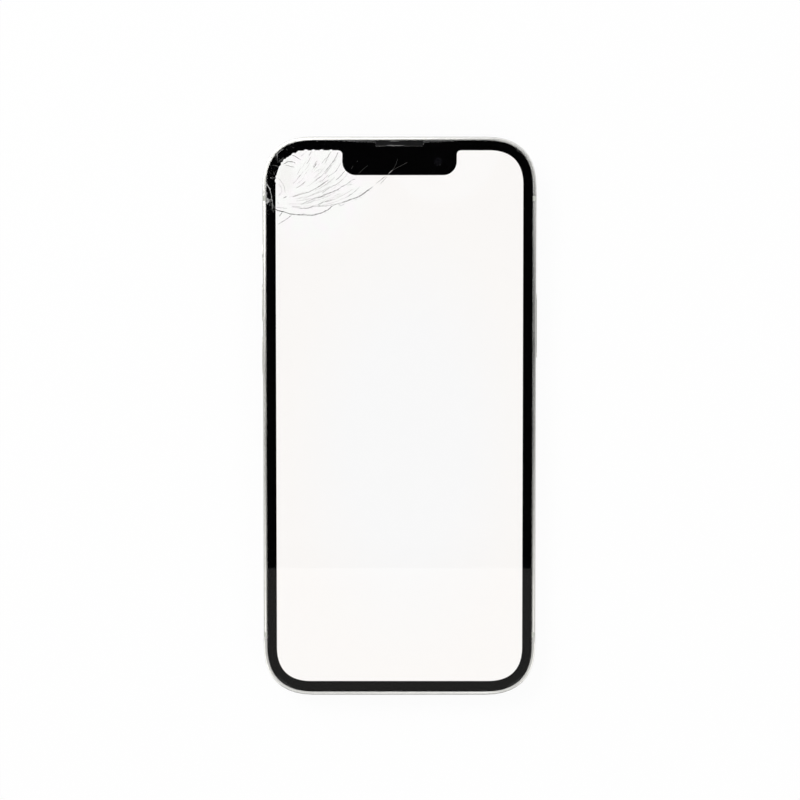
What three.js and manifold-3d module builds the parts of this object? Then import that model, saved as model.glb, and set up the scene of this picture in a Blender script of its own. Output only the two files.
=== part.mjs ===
// Compact touch-screen phone with a shattered cover glass, lying on its back.
// Millimetres. +Z comes out of the screen, +Y points to the earpiece end, +X is right seen from the front.
// Z = 0 is the lowest face of the rear lens rings, and X = Y = 0 is the middle of the body.
import * as THREE from 'three';
import { mergeVertices } from 'three/addons/utils/BufferGeometryUtils.js';
import Module from 'manifold-3d';

const wasm = await Module();
wasm.setup();

// Body
const bodyWidth = 64.2;
const bodyLength = 131.5;
const bodyThickness = 7.65;
const bodyRadius = 10.2;
const wall = 2.6;
const rimWidth = 0.8;
const rimDrop = 0.1;
const bandEdge = 0.35;
const cornerSpan = 1.15;
const cornerSteps = 10;
const roundSteps = 20;
const hiddenSteps = 5;

// Display stack
const glassGap = 0.1;
const glassThickness = 0.7;
const glassEdge = 0.15;
const maskThickness = 0.12;
const panelThickness = 0.73;
const bezelHeight = 0.68;
const gasketThickness = 0.15;
const sideBorder = 2.2;
const topBorder = 2.25;
const chinBorder = 2.35;
const screenRadius = 7.0;
const panelOverlap = 0.8;
const bezelWidth = 1.1;
const gasketInset = 0.15;
const gasketWidth = 0.85;
const notchWidth = 26.8;
const notchDepth = 5.8;
const notchShoulder = 1.0;
const notchCorner = 3.2;
const earpieceLength = 11.0;
const earpieceDepth = 1.3;
const earpieceCorner = 0.5;
const noseRise = 0.3;
const frontLensRadius = 1.5;
const frontCameraX = 9.0;
const sensorX = -9.5;

// Cracked glass
const crackDepth = 0.4;
const crackStepsPerSpan = 2;

// Rear glass and camera island
const rearGlassThickness = 0.8;
const rearGlassEdge = 0.3;
const plateThickness = 0.6;
const islandWidth = 26.4;
const islandLength = 28.0;
const islandRadius = 7.0;
const islandInset = 3.0;
const plateauRise = 0.7;
const plateauEdge = 0.35;
const ringRise = 0.9;
const ringRadius = 6.1;
const ringNeckRadius = 5.2;
const ringGap = 0.2;
const windowRadius = 4.7;
const windowThickness = 0.5;
const windowSetBack = 0.2;
const barrelRadius = 3.9;
const lensPitch = 12.9;
const lensFromEdge = 7.5;
const cameraBody = 11.0;
const cameraHeight = 3.9;
const bracketReach = 0.6;
const bracketThickness = 0.4;
const bracketHole = 3.2;
const flashRadius = 2.7;
const flashFromEdge = 6.2;
const flashBoardWidth = 6.4;
const flashLampWidth = 1.8;
const rearMicRadius = 0.45;
const rearMicDrop = 6.5;

// Antenna breaks in the band
const breakFromEnd = 14.4;
const breakWidth = 1.1;
const lipWidth = 1.2;
const lipHeight = 0.5;
const lipRoot = 0.4;
const plateGap = 0.15;

// Side buttons, silent switch and card tray, placed by their distance from the top end
const buttonHeight = 2.6;
const buttonProud = 0.3;
const buttonGap = 0.1;
const buttonTravel = 0.3;
const buttonShoulder = 1.2;
const flangeReach = 0.7;
const flangeRise = 0.4;
const flangeFloat = 0.05;
const flangeThickness = 0.5;
const domeGap = 0.1;
const domeRadius = 1.3;
const stripThickness = 0.4;
const stripBelow = 2.0;
const stripAbove = 1.7;
const powerStripReach = 10.0;
const volumeStripBelow = 7.0;
const volumeStripAbove = 5.0;
const powerFromTop = 44.2;
const powerLength = 15.4;
const volumeUpFromTop = 38.8;
const volumeDownFromTop = 51.2;
const volumeLength = 9.15;
const silentFromTop = 27.0;
const silentLength = 5.6;
const silentHeight = 1.7;
const silentTravel = 1.1;
const silentCorner = 0.6;
const ridgeLength = 4.0;
const ridgeHeight = 0.5;
const trayFromTop = 75.0;
const trayFaceLength = 15.2;
const trayFaceHeight = 1.8;
const trayFaceThickness = 1.0;
const trayShoulder = 0.7;
const trayDepth = 14.4;
const trayThickness = 1.0;
const trayGap = 0.15;
const trayNose = 1.2;
const ejectRadius = 0.42;
const ejectFromEnd = 1.5;
const readerShell = 0.35;
const cardWidth = 12.3;
const cardDepth = 8.8;
const cardThickness = 0.67;
const cardCut = 1.7;
const cardFloat = 0.03;
const cardLedge = 0.7;

// Bottom end
const portWidth = 8.3;
const portHeight = 2.7;
const portDepth = 7.0;
const portWall = 0.35;
const portGap = 0.1;
const portContactCount = 8;
const portSetBack = 0.15;
const portCap = 0.6;
const screwFromMiddle = 7.8;
const screwHeadRadius = 0.8;
const screwShankRadius = 0.5;
const screwLength = 4.6;
const screwHeadLength = 0.6;
const soundHoleRadius = 0.62;
const soundHolePitch = 2.2;
const soundHoleStart = 11.0;
const speakerHoles = 5;
const spoutReach = 0.9;
const spoutHeight = 2.4;
const micHoles = 3;

// Inner pieces
const innerGap = 0.3;
const boardThickness = 0.7;
const boardStandoff = 0.6;
const standoffRadius = 1.3;
const standoffInset = 2.0;
const standoffRows = { upper: 9, middle: 31, lower: 4 };
const boardWidth = 19.6;
const boardFromTopWall = 8.15;
const boardFromBottomWall = 22.15;
const boardToBattery = 1.2;
const batteryHeight = 3.8;
const cameraToBattery = 4.9;
const shieldHeight = 1.7;
const shieldGap = 3.2;
const ribbonThickness = 0.2;
const portRibbonWidth = 9.0;
const motorLength = 19.0;
const motorWidth = 8.6;
const motorHeight = 3.4;
const motorTab = 1.3;
const motorToBoard = 4.9;
const speakerToBattery = 4.4;
const coilRadius = 24.4;
const coilInner = 12.0;
const coilThickness = 0.45;
const coilCentreY = -8.0;
const noseLift = 1.2;
const noseSheet = 0.3;

// Levels from the lens rings up to the front glass
const rearFace = plateauRise + ringRise;
const frontFace = rearFace + bodyThickness;
const bandLow = rearFace + rimDrop;
const bandHigh = frontFace - rimDrop;
const sideMiddle = (bandLow + bandHigh) / 2;
const rearSeat = rearFace + rearGlassThickness;
const plateTop = rearSeat + plateThickness;
const glassUnder = frontFace - glassThickness;
const maskUnder = glassUnder - maskThickness;
const bezelUnder = maskUnder - bezelHeight;
const ledge = bezelUnder - gasketThickness;
const panelUnder = maskUnder - panelThickness;
const boardTop = plateTop + boardStandoff + boardThickness;

// Plan sizes that follow from the driving ones
const halfWidth = bodyWidth / 2;
const halfLength = bodyLength / 2;
const glassInset = rimWidth + glassGap;
const glassWidth = bodyWidth - 2 * glassInset;
const glassLength = bodyLength - 2 * glassInset;
const innerX = halfWidth - wall;
const innerY = halfLength - wall;
const roomInset = wall + lipWidth + innerGap;
const breakY = halfLength - breakFromEnd;
const screenWidth = glassWidth - 2 * sideBorder;
const screenBottom = -glassLength / 2 + chinBorder;
const screenTop = glassLength / 2 - topBorder;
const bezelInset = glassInset + glassGap;
const boardLeft = -innerX + stripThickness + innerGap;
const boardRight = boardLeft + boardWidth;
const boardLow = -innerY + boardFromBottomWall;
const boardHigh = innerY - boardFromTopWall;
const batteryLeft = boardRight + boardToBattery;
const shoulderX = halfWidth - buttonShoulder;
const flangeFace = shoulderX - flangeFloat;
const clear = 20;

// Finishes
const finish = (color, roughness, metalness) => ({ color, roughness, metalness });
const paleMetal = finish(0xbfc2b8, 0.38, 0.9);
const blackInk = finish(0x0b0b0c, 0.35, 0.0);
const clearGlass = finish(0xdfe6e4, 0.06, 0.0);
const paleGlass = finish(0xd9dcd2, 0.12, 0.0);
const litPanel = finish(0xf8f8f6, 0.4, 0.0);
const darkPlastic = finish(0x202124, 0.55, 0.0);
const palePlastic = finish(0xb2b4ab, 0.6, 0.0);
const steel = finish(0x9b9ea1, 0.3, 1.0);
const copper = finish(0xb36d3c, 0.35, 1.0);
const greenBoard = finish(0x17402b, 0.5, 0.1);
const batteryWrap = finish(0x26282b, 0.6, 0.0);
const amberFlex = finish(0x8a5a22, 0.5, 0.0);
const foam = finish(0x2b2b2d, 0.9, 0.0);
const lensGlass = finish(0x10131a, 0.04, 0.1);

const phone = new THREE.Group();

// Solids and geometries

function solid(geometry) {
  const bare = geometry.clone();
  bare.deleteAttribute('normal');
  bare.deleteAttribute('uv');
  const merged = mergeVertices(bare, 1e-5);
  return new wasm.Manifold(new wasm.Mesh({
    numProp: 3,
    vertProperties: new Float32Array(merged.attributes.position.array),
    triVerts: new Uint32Array(merged.index.array),
  }));
}

function geometryOf(body) {
  const mesh = body.getMesh();
  const geometry = new THREE.BufferGeometry();
  geometry.setAttribute('position', new THREE.BufferAttribute(mesh.vertProperties, 3));
  geometry.setIndex(new THREE.BufferAttribute(mesh.triVerts, 1));
  geometry.computeVertexNormals();
  return geometry;
}

function place(name, body, look, parent = phone) {
  const mesh = new THREE.Mesh(geometryOf(body), new THREE.MeshStandardMaterial(look));
  mesh.name = name;
  parent.add(mesh);
  return mesh;
}

function box(lowX, highX, lowY, highY, lowZ, highZ) {
  const geometry = new THREE.BoxGeometry(highX - lowX, highY - lowY, highZ - lowZ);
  geometry.translate((lowX + highX) / 2, (lowY + highY) / 2, (lowZ + highZ) / 2);
  return solid(geometry);
}

function slab(shape, low, high, steps = cornerSteps) {
  const geometry = new THREE.ExtrudeGeometry(shape, {
    depth: high - low, bevelEnabled: false, curveSegments: steps,
  });
  geometry.translate(0, 0, low);
  return solid(geometry);
}

// A slab whose top and bottom edges are rounded by the given amount
function softSlab(shape, low, high, edge, rounds = 2, steps = cornerSteps) {
  const geometry = new THREE.ExtrudeGeometry(shape, {
    depth: high - low - 2 * edge,
    bevelEnabled: true,
    bevelThickness: edge,
    bevelSize: edge,
    bevelOffset: -edge,
    bevelSegments: rounds,
    curveSegments: steps,
  });
  geometry.translate(0, 0, low + edge);
  return solid(geometry);
}

// A prism along X from a shape drawn in Y and Z
function prismX(shape, lowX, highX, steps = 6) {
  const geometry = new THREE.ExtrudeGeometry(shape, {
    depth: highX - lowX, bevelEnabled: false, curveSegments: steps,
  });
  const turn = new THREE.Matrix4().makeBasis(
    new THREE.Vector3(0, 1, 0), new THREE.Vector3(0, 0, 1), new THREE.Vector3(1, 0, 0));
  geometry.applyMatrix4(turn);
  geometry.translate(lowX, 0, 0);
  return solid(geometry);
}

// A prism along Y from a shape drawn in X and Z
function prismY(shape, lowY, highY, steps = 6) {
  const geometry = new THREE.ExtrudeGeometry(shape, {
    depth: highY - lowY, bevelEnabled: false, curveSegments: steps,
  });
  const turn = new THREE.Matrix4().makeBasis(
    new THREE.Vector3(1, 0, 0), new THREE.Vector3(0, 0, 1), new THREE.Vector3(0, -1, 0));
  geometry.applyMatrix4(turn);
  geometry.translate(0, highY, 0);
  return solid(geometry);
}

// A turned body about a vertical axis at x, y, from a profile of [radius, height] closed on the axis
function turned(profile, x, y, segments = roundSteps) {
  const geometry = new THREE.LatheGeometry(profile.map(([r, z]) => new THREE.Vector2(r, z)), segments);
  geometry.rotateX(Math.PI / 2);
  geometry.translate(x, y, 0);
  return solid(geometry);
}

function disc(radius, x, y, low, high, segments = roundSteps) {
  return turned([[0, low], [radius, low], [radius, high], [0, high]], x, y, segments);
}

// Outlines

// The handle puts the middle of each corner on the arc of the named radius
const cornerHandle = (4 - 8 * (1 - Math.SQRT1_2) / cornerSpan) / 3;

function outline(width, length, radius, x = 0, y = 0) {
  const span = radius * cornerSpan;
  const near = span * (1 - cornerHandle);
  const right = x + width / 2;
  const left = x - width / 2;
  const top = y + length / 2;
  const bottom = y - length / 2;
  const shape = new THREE.Shape();
  shape.moveTo(right, bottom + span);
  shape.lineTo(right, top - span);
  shape.bezierCurveTo(right, top - near, right - near, top, right - span, top);
  shape.lineTo(left + span, top);
  shape.bezierCurveTo(left + near, top, left, top - near, left, top - span);
  shape.lineTo(left, bottom + span);
  shape.bezierCurveTo(left, bottom + near, left + near, bottom, left + span, bottom);
  shape.lineTo(right - span, bottom);
  shape.bezierCurveTo(right - near, bottom, right, bottom + near, right, bottom + span);
  return shape;
}

function bodyOutline(inset) {
  return outline(bodyWidth - 2 * inset, bodyLength - 2 * inset, bodyRadius - inset);
}

// The screen's outline: round corners and a notch in its top edge, grown by the given margin
function screenShape(margin) {
  const right = screenWidth / 2 + margin;
  const top = screenTop + margin;
  const bottom = screenBottom - margin;
  const span = (screenRadius + margin) * cornerSpan;
  const near = span * (1 - cornerHandle);
  const notchX = notchWidth / 2 - margin;
  const notchY = screenTop - notchDepth + margin;
  const shoulder = notchShoulder + margin;
  const corner = notchCorner - margin;
  const shape = new THREE.Shape();
  shape.moveTo(right, bottom + span);
  shape.lineTo(right, top - span);
  shape.bezierCurveTo(right, top - near, right - near, top, right - span, top);
  shape.lineTo(notchX + shoulder, top);
  shape.absarc(notchX + shoulder, top - shoulder, shoulder, Math.PI / 2, Math.PI, false);
  shape.absarc(notchX - corner, notchY + corner, corner, 0, -Math.PI / 2, true);
  shape.absarc(corner - notchX, notchY + corner, corner, -Math.PI / 2, -Math.PI, true);
  shape.absarc(-notchX - shoulder, top - shoulder, shoulder, 0, Math.PI / 2, false);
  shape.lineTo(-right + span, top);
  shape.bezierCurveTo(-right + near, top, -right, top - near, -right, top - span);
  shape.lineTo(-right, bottom + span);
  shape.bezierCurveTo(-right, bottom + near, -right + near, bottom, -right + span, bottom);
  shape.lineTo(right - span, bottom);
  shape.bezierCurveTo(right - near, bottom, right, bottom + near, right, bottom + span);
  return shape;
}

// A bar with round ends, its length along the first axis of the drawing
function stadium(length, height, x, y) {
  const radius = height / 2;
  const shape = new THREE.Shape();
  shape.absarc(x + length / 2 - radius, y, radius, -Math.PI / 2, Math.PI / 2, false);
  shape.absarc(x - length / 2 + radius, y, radius, Math.PI / 2, Math.PI * 1.5, false);
  return shape;
}

function circle(radius, x, y) {
  const shape = new THREE.Shape();
  shape.absarc(x, y, radius, 0, Math.PI * 2, false);
  return shape;
}

// Cover glass: a flat plate with a chipped corner and the cracks that run from it

function glassPoint(fromLeft, fromTop) {
  return new THREE.Vector2(fromLeft - glassWidth / 2, glassLength / 2 - fromTop);
}

// Each route is [from the glass's left edge, from its top edge], and a crack runs to a point at both ends
const cracks = [
  {
    width: 0.14,
    route: [
      [1.3, 15.9], [4.9, 16.9], [8.1, 17.4], [11.0, 17.3], [14.5, 16.0], [18.0, 14.3], [22.0, 12.9],
      [25.0, 10.8],
    ],
  },
  { width: 0.12, route: [[25.8, 10.0], [28.4, 8.4], [30.6, 6.4], [33.0, 5.3]] },
  { width: 0.12, route: [[2.6, 15.5], [6.5, 15.5], [10.0, 15.8], [13.0, 15.2], [16.3, 14.7]] },
  { width: 0.12, route: [[8.6, 14.6], [12.7, 13.2], [16.6, 11.5], [19.2, 10.0], [20.6, 9.1]] },
  { width: 0.10, route: [[8.5, 12.5], [12.4, 10.7], [14.5, 9.2]] },
  { width: 0.10, route: [[16.3, 9.2], [17.7, 7.9], [18.3, 7.2]] },
  { width: 0.12, route: [[13.7, 7.3], [15.5, 5.1], [16.8, 3.0]] },
  { width: 0.10, route: [[13.1, 5.3], [14.3, 3.9], [15.2, 2.7]] },
  { width: 0.10, route: [[14.5, 8.6], [16.2, 7.2], [17.4, 5.4]] },
  { width: 0.10, route: [[18.6, 13.3], [20.4, 12.0], [21.7, 11.0]] },
  { width: 0.10, route: [[2.9, 19.5], [4.7, 18.5], [6.0, 17.3]] },
  { width: 0.10, route: [[2.9, 8.8], [4.0, 10.4], [4.4, 12.0]] },
  { width: 0.20, route: [[0.3, 10.2], [1.3, 12.0], [2.0, 15.0]] },
  { width: 0.14, route: [[2.4, 2.8], [2.6, 4.1], [2.8, 5.4]] },
  { width: 0.10, route: [[4.6, 5.2], [5.6, 4.9], [6.6, 5.2]] },
];

// Shallow bites out of the glass's edge, where it struck
const chips = [
  { fromLeft: 0.1, fromTop: 14.1, radius: 1.5, depth: 0.3 },
  { fromLeft: 0.1, fromTop: 10.1, radius: 0.9, depth: 0.22 },
  { fromLeft: 2.2, fromTop: 2.5, radius: 0.9, depth: 0.2 },
];

function crackSlit({ width, route }) {
  const curve = new THREE.SplineCurve(route.map(([left, top]) => glassPoint(left, top)));
  const steps = crackStepsPerSpan * (route.length - 1);
  const centre = curve.getPoints(steps);
  const side = (i, sign) => {
    const along = curve.getTangent(i / steps);
    const half = sign * width / 2 * Math.sqrt(Math.sin(Math.PI * i / steps));
    return new THREE.Vector2(centre[i].x - along.y * half, centre[i].y + along.x * half);
  };
  const inner = Array.from({ length: steps - 1 }, (_, i) => i + 1);
  const points = [
    centre[0],
    ...inner.map((i) => side(i, -1)),
    centre[steps],
    ...inner.reverse().map((i) => side(i, 1)),
  ];
  return slab(new THREE.Shape(points), frontFace - crackDepth, frontFace + clear, 1);
}

function chipBite({ fromLeft, fromTop, radius, depth }) {
  const ball = (radius * radius + depth * depth) / (2 * depth);
  const at = glassPoint(fromLeft, fromTop);
  const geometry = new THREE.SphereGeometry(ball, 32, 44);
  geometry.translate(at.x, at.y, frontFace + ball - depth);
  const reach = box(at.x - radius, at.x + radius, at.y - radius, at.y + radius, glassUnder, frontFace + 1);
  return solid(geometry).intersect(reach);
}

// The slot for the earpiece is open at the top edge of the glass
function earpieceSlot(grow, low, high) {
  const top = glassLength / 2;
  const middle = top - earpieceDepth / 2 + clear / 2;
  const width = earpieceLength + 2 * grow;
  const shape = outline(width, earpieceDepth + 2 * grow + clear, earpieceCorner, 0, middle);
  return slab(shape, low, high, 4);
}

function coverGlass() {
  let glass = softSlab(bodyOutline(glassInset), glassUnder, frontFace, glassEdge);
  glass = glass.subtract(earpieceSlot(0, glassUnder - 1, frontFace + 1));
  for (const crack of cracks) glass = glass.subtract(crackSlit(crack));
  for (const chip of chips) glass = glass.subtract(chipBite(chip));
  return glass;
}

// Black mask behind the glass, open over the screen, with the front camera's window
function borderMask() {
  const shape = bodyOutline(bezelInset);
  shape.holes.push(screenShape(0));
  const mask = slab(shape, maskUnder, glassUnder, 7);
  const sight = disc(frontLensRadius, frontCameraX, noseY, maskUnder - 1, glassUnder + 1, 16);
  return mask.subtract(earpieceSlot(0, maskUnder - 1, glassUnder + 1)).subtract(sight);
}

function displayPanel() {
  return slab(screenShape(panelOverlap), panelUnder, maskUnder, hiddenSteps);
}

function displayBezel() {
  const ring = slab(bodyOutline(bezelInset), bezelUnder, maskUnder, hiddenSteps);
  const opening = outline(
    screenWidth + 2 * (panelOverlap + glassGap), bodyLength - 2 * (bezelInset + bezelWidth),
    screenRadius + panelOverlap);
  return ring.subtract(slab(opening, bezelUnder - 1, maskUnder + 1, hiddenSteps));
}

function displayGasket() {
  const inset = bezelInset + gasketInset;
  const ring = slab(bodyOutline(inset), ledge, bezelUnder, hiddenSteps);
  return ring.subtract(slab(bodyOutline(inset + gasketWidth), ledge - 1, bezelUnder + 1, hiddenSteps));
}

// Band: the whole ring is machined once, then parted at the antenna breaks

function wholeBand() {
  let ring = softSlab(bodyOutline(0), bandLow, bandHigh, bandEdge, 2);
  ring = ring.subtract(slab(bodyOutline(rimWidth), ledge, bandHigh + 1));
  ring = ring.subtract(slab(bodyOutline(rimWidth), bandLow - 1, rearSeat));
  return ring.subtract(slab(bodyOutline(wall), rearSeat - 1, ledge + 1, hiddenSteps));
}

const bandRing = wholeBand();

function bandBetween(lowX, highX, lowY, highY) {
  return bandRing.intersect(box(lowX, highX, lowY, highY, 0, frontFace + 1));
}

// The end bands carry a lip that rests on the back plate
function bandLip() {
  const high = plateTop + lipHeight;
  const lip = slab(bodyOutline(wall - lipRoot), plateTop, high, hiddenSteps);
  return lip.subtract(slab(bodyOutline(wall + lipWidth), plateTop - 1, high + 1, hiddenSteps));
}

function endBand(sign) {
  const near = breakY + breakWidth / 2;
  const lowY = sign > 0 ? near : -halfLength - 1;
  const highY = sign > 0 ? halfLength + 1 : -near;
  const reach = box(-halfWidth - 1, halfWidth + 1, lowY, highY, 0, frontFace + 1);
  return bandRing.add(bandLip()).intersect(reach);
}

function antennaInsert(signX, signY) {
  const lowY = signY * breakY - breakWidth / 2;
  const outer = signX * (halfWidth + 1);
  return bandBetween(Math.min(0, outer), Math.max(0, outer), lowY, lowY + breakWidth);
}

// Places on the sides, measured from the top end
const powerY = halfLength - powerFromTop;
const volumeUpY = halfLength - volumeUpFromTop;
const volumeDownY = halfLength - volumeDownFromTop;
const silentY = halfLength - silentFromTop;
const trayY = halfLength - trayFromTop;

// Places of the rear cameras and of what looks out through the notch
const islandX = halfWidth - islandInset - islandWidth / 2;
const islandY = halfLength - islandInset - islandLength / 2;
const lensX = islandX + islandWidth / 2 - lensFromEdge;
const lensUpperY = islandY + lensPitch / 2;
const lensLowerY = islandY - lensPitch / 2;
const flashX = islandX - islandWidth / 2 + flashFromEdge;
const rearMicY = islandY - rearMicDrop;
const notchMiddle = screenTop - notchDepth / 2;
const noseY = notchMiddle + noseRise;

function railSlot(sign, y, length, height, reachIn = wall) {
  const near = sign * (halfWidth - reachIn);
  const far = sign * (halfWidth + 1);
  const shape = stadium(length + 2 * buttonGap, height + 2 * buttonGap, y, sideMiddle);
  return prismX(shape, Math.min(near, far), Math.max(near, far));
}

// A pocket behind a rail's slot, for the flange that keeps a button in
function railPocket(sign, y, length, height) {
  const inner = sign * (innerX - 1);
  const outer = sign * shoulderX;
  return box(
    Math.min(inner, outer), Math.max(inner, outer),
    y - length / 2, y + length / 2, sideMiddle - height / 2, sideMiddle + height / 2);
}

function buttonCut(sign, y, length) {
  const pocketLength = length + 2 * (flangeReach + buttonGap);
  const pocketHeight = buttonHeight + 2 * (flangeRise + buttonGap);
  return railSlot(sign, y, length, buttonHeight).add(railPocket(sign, y, pocketLength, pocketHeight));
}

const silentFlangeHeight = silentHeight + 2 * flangeRise;
const silentPocketHeight = silentFlangeHeight + silentTravel + 2 * buttonGap;
const silentPocketLength = silentLength + 2 * (flangeReach + buttonGap);

function silentCut() {
  const shape = outline(
    silentLength + 2 * buttonGap, silentHeight + silentTravel + 2 * buttonGap,
    silentCorner + buttonGap, silentY, sideMiddle);
  const slot = prismX(shape, -halfWidth - 1, -shoulderX + 0.5);
  return slot.add(railPocket(-1, silentY, silentPocketLength, silentPocketHeight));
}

const standoffs = [
  [boardLeft + standoffInset, boardHigh - standoffRows.upper],
  [boardRight - standoffInset, boardHigh - standoffRows.upper],
  [boardRight - standoffInset, boardHigh - standoffRows.middle],
  [boardLeft + standoffInset, boardLow + standoffRows.lower],
  [boardRight - standoffInset, boardLow + standoffRows.lower],
];

// Chassis: both side rails and the back plate, machined from one piece
function chassis() {
  const near = breakY - breakWidth / 2;
  let body = bandBetween(-halfWidth - 1, halfWidth + 1, -near, near);
  body = body.add(box(-innerX - 0.5, innerX + 0.5, -near, near, rearSeat, plateTop));
  body = body.add(slab(bodyOutline(wall + plateGap), rearSeat, plateTop, hiddenSteps));
  for (const [x, y] of standoffs) {
    body = body.add(disc(standoffRadius, x, y, rearSeat, plateTop + boardStandoff, 12));
  }
  const holes = [
    disc(coilRadius + innerGap, 0, coilCentreY, rearSeat - 1, plateTop + 1, 40),
    disc(barrelRadius + innerGap, lensX, lensUpperY, rearSeat - 1, plateTop + 1),
    disc(barrelRadius + innerGap, lensX, lensLowerY, rearSeat - 1, plateTop + 1),
    disc(flashRadius - 0.8, flashX, islandY, rearSeat - 1, plateTop + 1, 16),
    disc(rearMicRadius, flashX, rearMicY, rearSeat - 1, plateTop + 1, 12),
    buttonCut(1, powerY, powerLength),
    buttonCut(-1, volumeUpY, volumeLength),
    buttonCut(-1, volumeDownY, volumeLength),
    silentCut(),
    railSlot(-1, trayY, trayFaceLength, trayFaceHeight),
  ];
  for (const hole of holes) body = body.subtract(hole);
  return body;
}

// Bottom band: port, two screws, and the sound holes either side
const speakerX = (i) => soundHoleStart + i * soundHolePitch;
const micX = (i) => -soundHoleStart - i * soundHolePitch;
const counterboreY = -halfLength + screwHeadLength + rimDrop;

function bottomBand() {
  let band = endBand(-1);
  const low = -halfLength - 1;
  const high = -innerY + 1;
  const port = stadium(
    portWidth + 2 * (portWall + portGap), portHeight + 2 * (portWall + portGap), 0, sideMiddle);
  band = band.subtract(prismY(port, low, high, 8));
  for (const x of [-screwFromMiddle, screwFromMiddle]) {
    band = band.subtract(prismY(circle(screwHeadRadius + buttonGap, x, sideMiddle), low, counterboreY, 8));
    band = band.subtract(prismY(circle(screwShankRadius + buttonGap, x, sideMiddle), low, high, 6));
  }
  const sound = (x) => prismY(circle(soundHoleRadius, x, sideMiddle), low, high, 6);
  for (let i = 0; i < speakerHoles; i += 1) band = band.subtract(sound(speakerX(i)));
  for (let i = 0; i < micHoles; i += 1) band = band.subtract(sound(micX(i)));
  return band;
}

// Side buttons: a cap that stands proud, a neck through the rail, and a flange behind its shoulder
function sideButton(sign, y, length) {
  const capFace = halfWidth + buttonProud;
  const cap = stadium(length, buttonHeight, y, sideMiddle);
  const flange = stadium(length + 2 * flangeReach, buttonHeight + 2 * flangeRise, y, sideMiddle);
  const span = (near, far) => [Math.min(sign * near, sign * far), Math.max(sign * near, sign * far)];
  return prismX(cap, ...span(flangeFace - flangeThickness / 2, capFace), 8)
    .add(prismX(flange, ...span(flangeFace - flangeThickness, flangeFace), 8));
}

// Silent switch: a tab that slides up and down in its slot, at rest towards the screen
function silentSwitch() {
  const z = sideMiddle + silentTravel / 2;
  const tab = outline(silentLength, silentHeight, silentCorner, silentY, z);
  const half = silentLength / 2 + flangeReach;
  const flange = box(
    -flangeFace, -flangeFace + flangeThickness, silentY - half, silentY + half,
    z - silentFlangeHeight / 2, z + silentFlangeHeight / 2);
  const ridge = box(
    -halfWidth - buttonProud, -halfWidth, silentY - ridgeLength / 2, silentY + ridgeLength / 2,
    z - ridgeHeight / 2, z + ridgeHeight / 2);
  const body = prismX(tab, -halfWidth - 0.05, -flangeFace + flangeThickness / 2, 8);
  return body.add(ridge).add(flange);
}

// Switch strips on the rails' inner faces, with a dome behind each button
function switchStrip(sign, lowY, highY, domesY) {
  const domeFace = flangeFace - flangeThickness - buttonTravel - domeGap;
  const near = sign * (innerX - stripThickness);
  const wallFace = sign * innerX;
  let strip = box(
    Math.min(near, wallFace), Math.max(near, wallFace), lowY, highY,
    sideMiddle - stripBelow, sideMiddle + stripAbove);
  for (const y of domesY) {
    const tip = sign * domeFace;
    const dome = circle(domeRadius, y, sideMiddle);
    strip = strip.add(prismX(dome, Math.min(near, tip), Math.max(near, tip), 6));
  }
  return strip;
}

// Card tray: a face that closes the rail's slot, an eject hole, and a frame that carries the card
const trayWidth = trayFaceLength - 2 * trayShoulder;
const trayLow = sideMiddle - trayThickness / 2;
const trayHigh = sideMiddle + trayThickness / 2;
const trayEnd = -halfWidth + trayDepth;
const cardLow = trayHigh - cardThickness - cardFloat;
const cardX = trayEnd - trayNose - cardDepth / 2;

function cardTray() {
  const faceBack = -halfWidth + trayFaceThickness;
  const face = prismX(stadium(trayFaceLength, trayFaceHeight, trayY, sideMiddle), -halfWidth, faceBack, 8);
  const half = trayWidth / 2;
  let tray = face.add(box(faceBack - 0.5, trayEnd, trayY - half, trayY + half, trayLow, trayHigh));
  const pocket = (grow, low) => box(
    cardX - cardDepth / 2 - grow, cardX + cardDepth / 2 + grow,
    trayY - cardWidth / 2 - grow, trayY + cardWidth / 2 + grow, low, trayHigh + 1);
  tray = tray.subtract(pocket(0.1, cardLow)).subtract(pocket(-cardLedge, trayLow - 1));
  const eject = circle(ejectRadius, trayY - trayFaceLength / 2 + ejectFromEnd, sideMiddle);
  return tray.subtract(prismX(eject, -halfWidth - 1, faceBack + 0.6));
}

function dataCard() {
  const left = cardX - cardDepth / 2;
  const right = cardX + cardDepth / 2;
  const low = trayY - cardWidth / 2;
  const high = trayY + cardWidth / 2;
  const shape = new THREE.Shape();
  shape.moveTo(left, low);
  shape.lineTo(right, low);
  shape.lineTo(right, high - cardCut);
  shape.lineTo(right - cardCut, high);
  shape.lineTo(left, high);
  return slab(shape, cardLow, cardLow + cardThickness);
}

const readerHalf = trayWidth / 2 + trayGap;
const readerLow = trayY - readerHalf - readerShell;
const readerHigh = trayY + readerHalf + readerShell;

function cardReader() {
  const mouth = -innerX + innerGap;
  const back = trayEnd + 0.5;
  const outer = box(
    mouth, back + readerShell, readerLow, readerHigh, boardTop, trayHigh + trayGap + readerShell);
  return outer.subtract(box(
    mouth - 1, back, trayY - readerHalf, trayY + readerHalf, trayLow - trayGap, trayHigh + trayGap));
}

// Rear glass with its raised camera island, one piece
function rearGlass() {
  let glass = softSlab(bodyOutline(glassInset), rearFace, rearSeat, rearGlassEdge / 2);
  const island = outline(islandWidth, islandLength, islandRadius, islandX, islandY);
  glass = glass.add(softSlab(island, ringRise, rearSeat - 0.2, plateauEdge, 2, 6));
  const holes = [
    disc(ringNeckRadius + ringGap, lensX, lensUpperY, -1, rearSeat + 1),
    disc(ringNeckRadius + ringGap, lensX, lensLowerY, -1, rearSeat + 1),
    disc(flashRadius + glassGap, flashX, islandY, -1, rearSeat + 1, 24),
    disc(rearMicRadius, flashX, rearMicY, -1, rearSeat + 1, 12),
  ];
  for (const hole of holes) glass = glass.subtract(hole);
  return glass;
}

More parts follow.
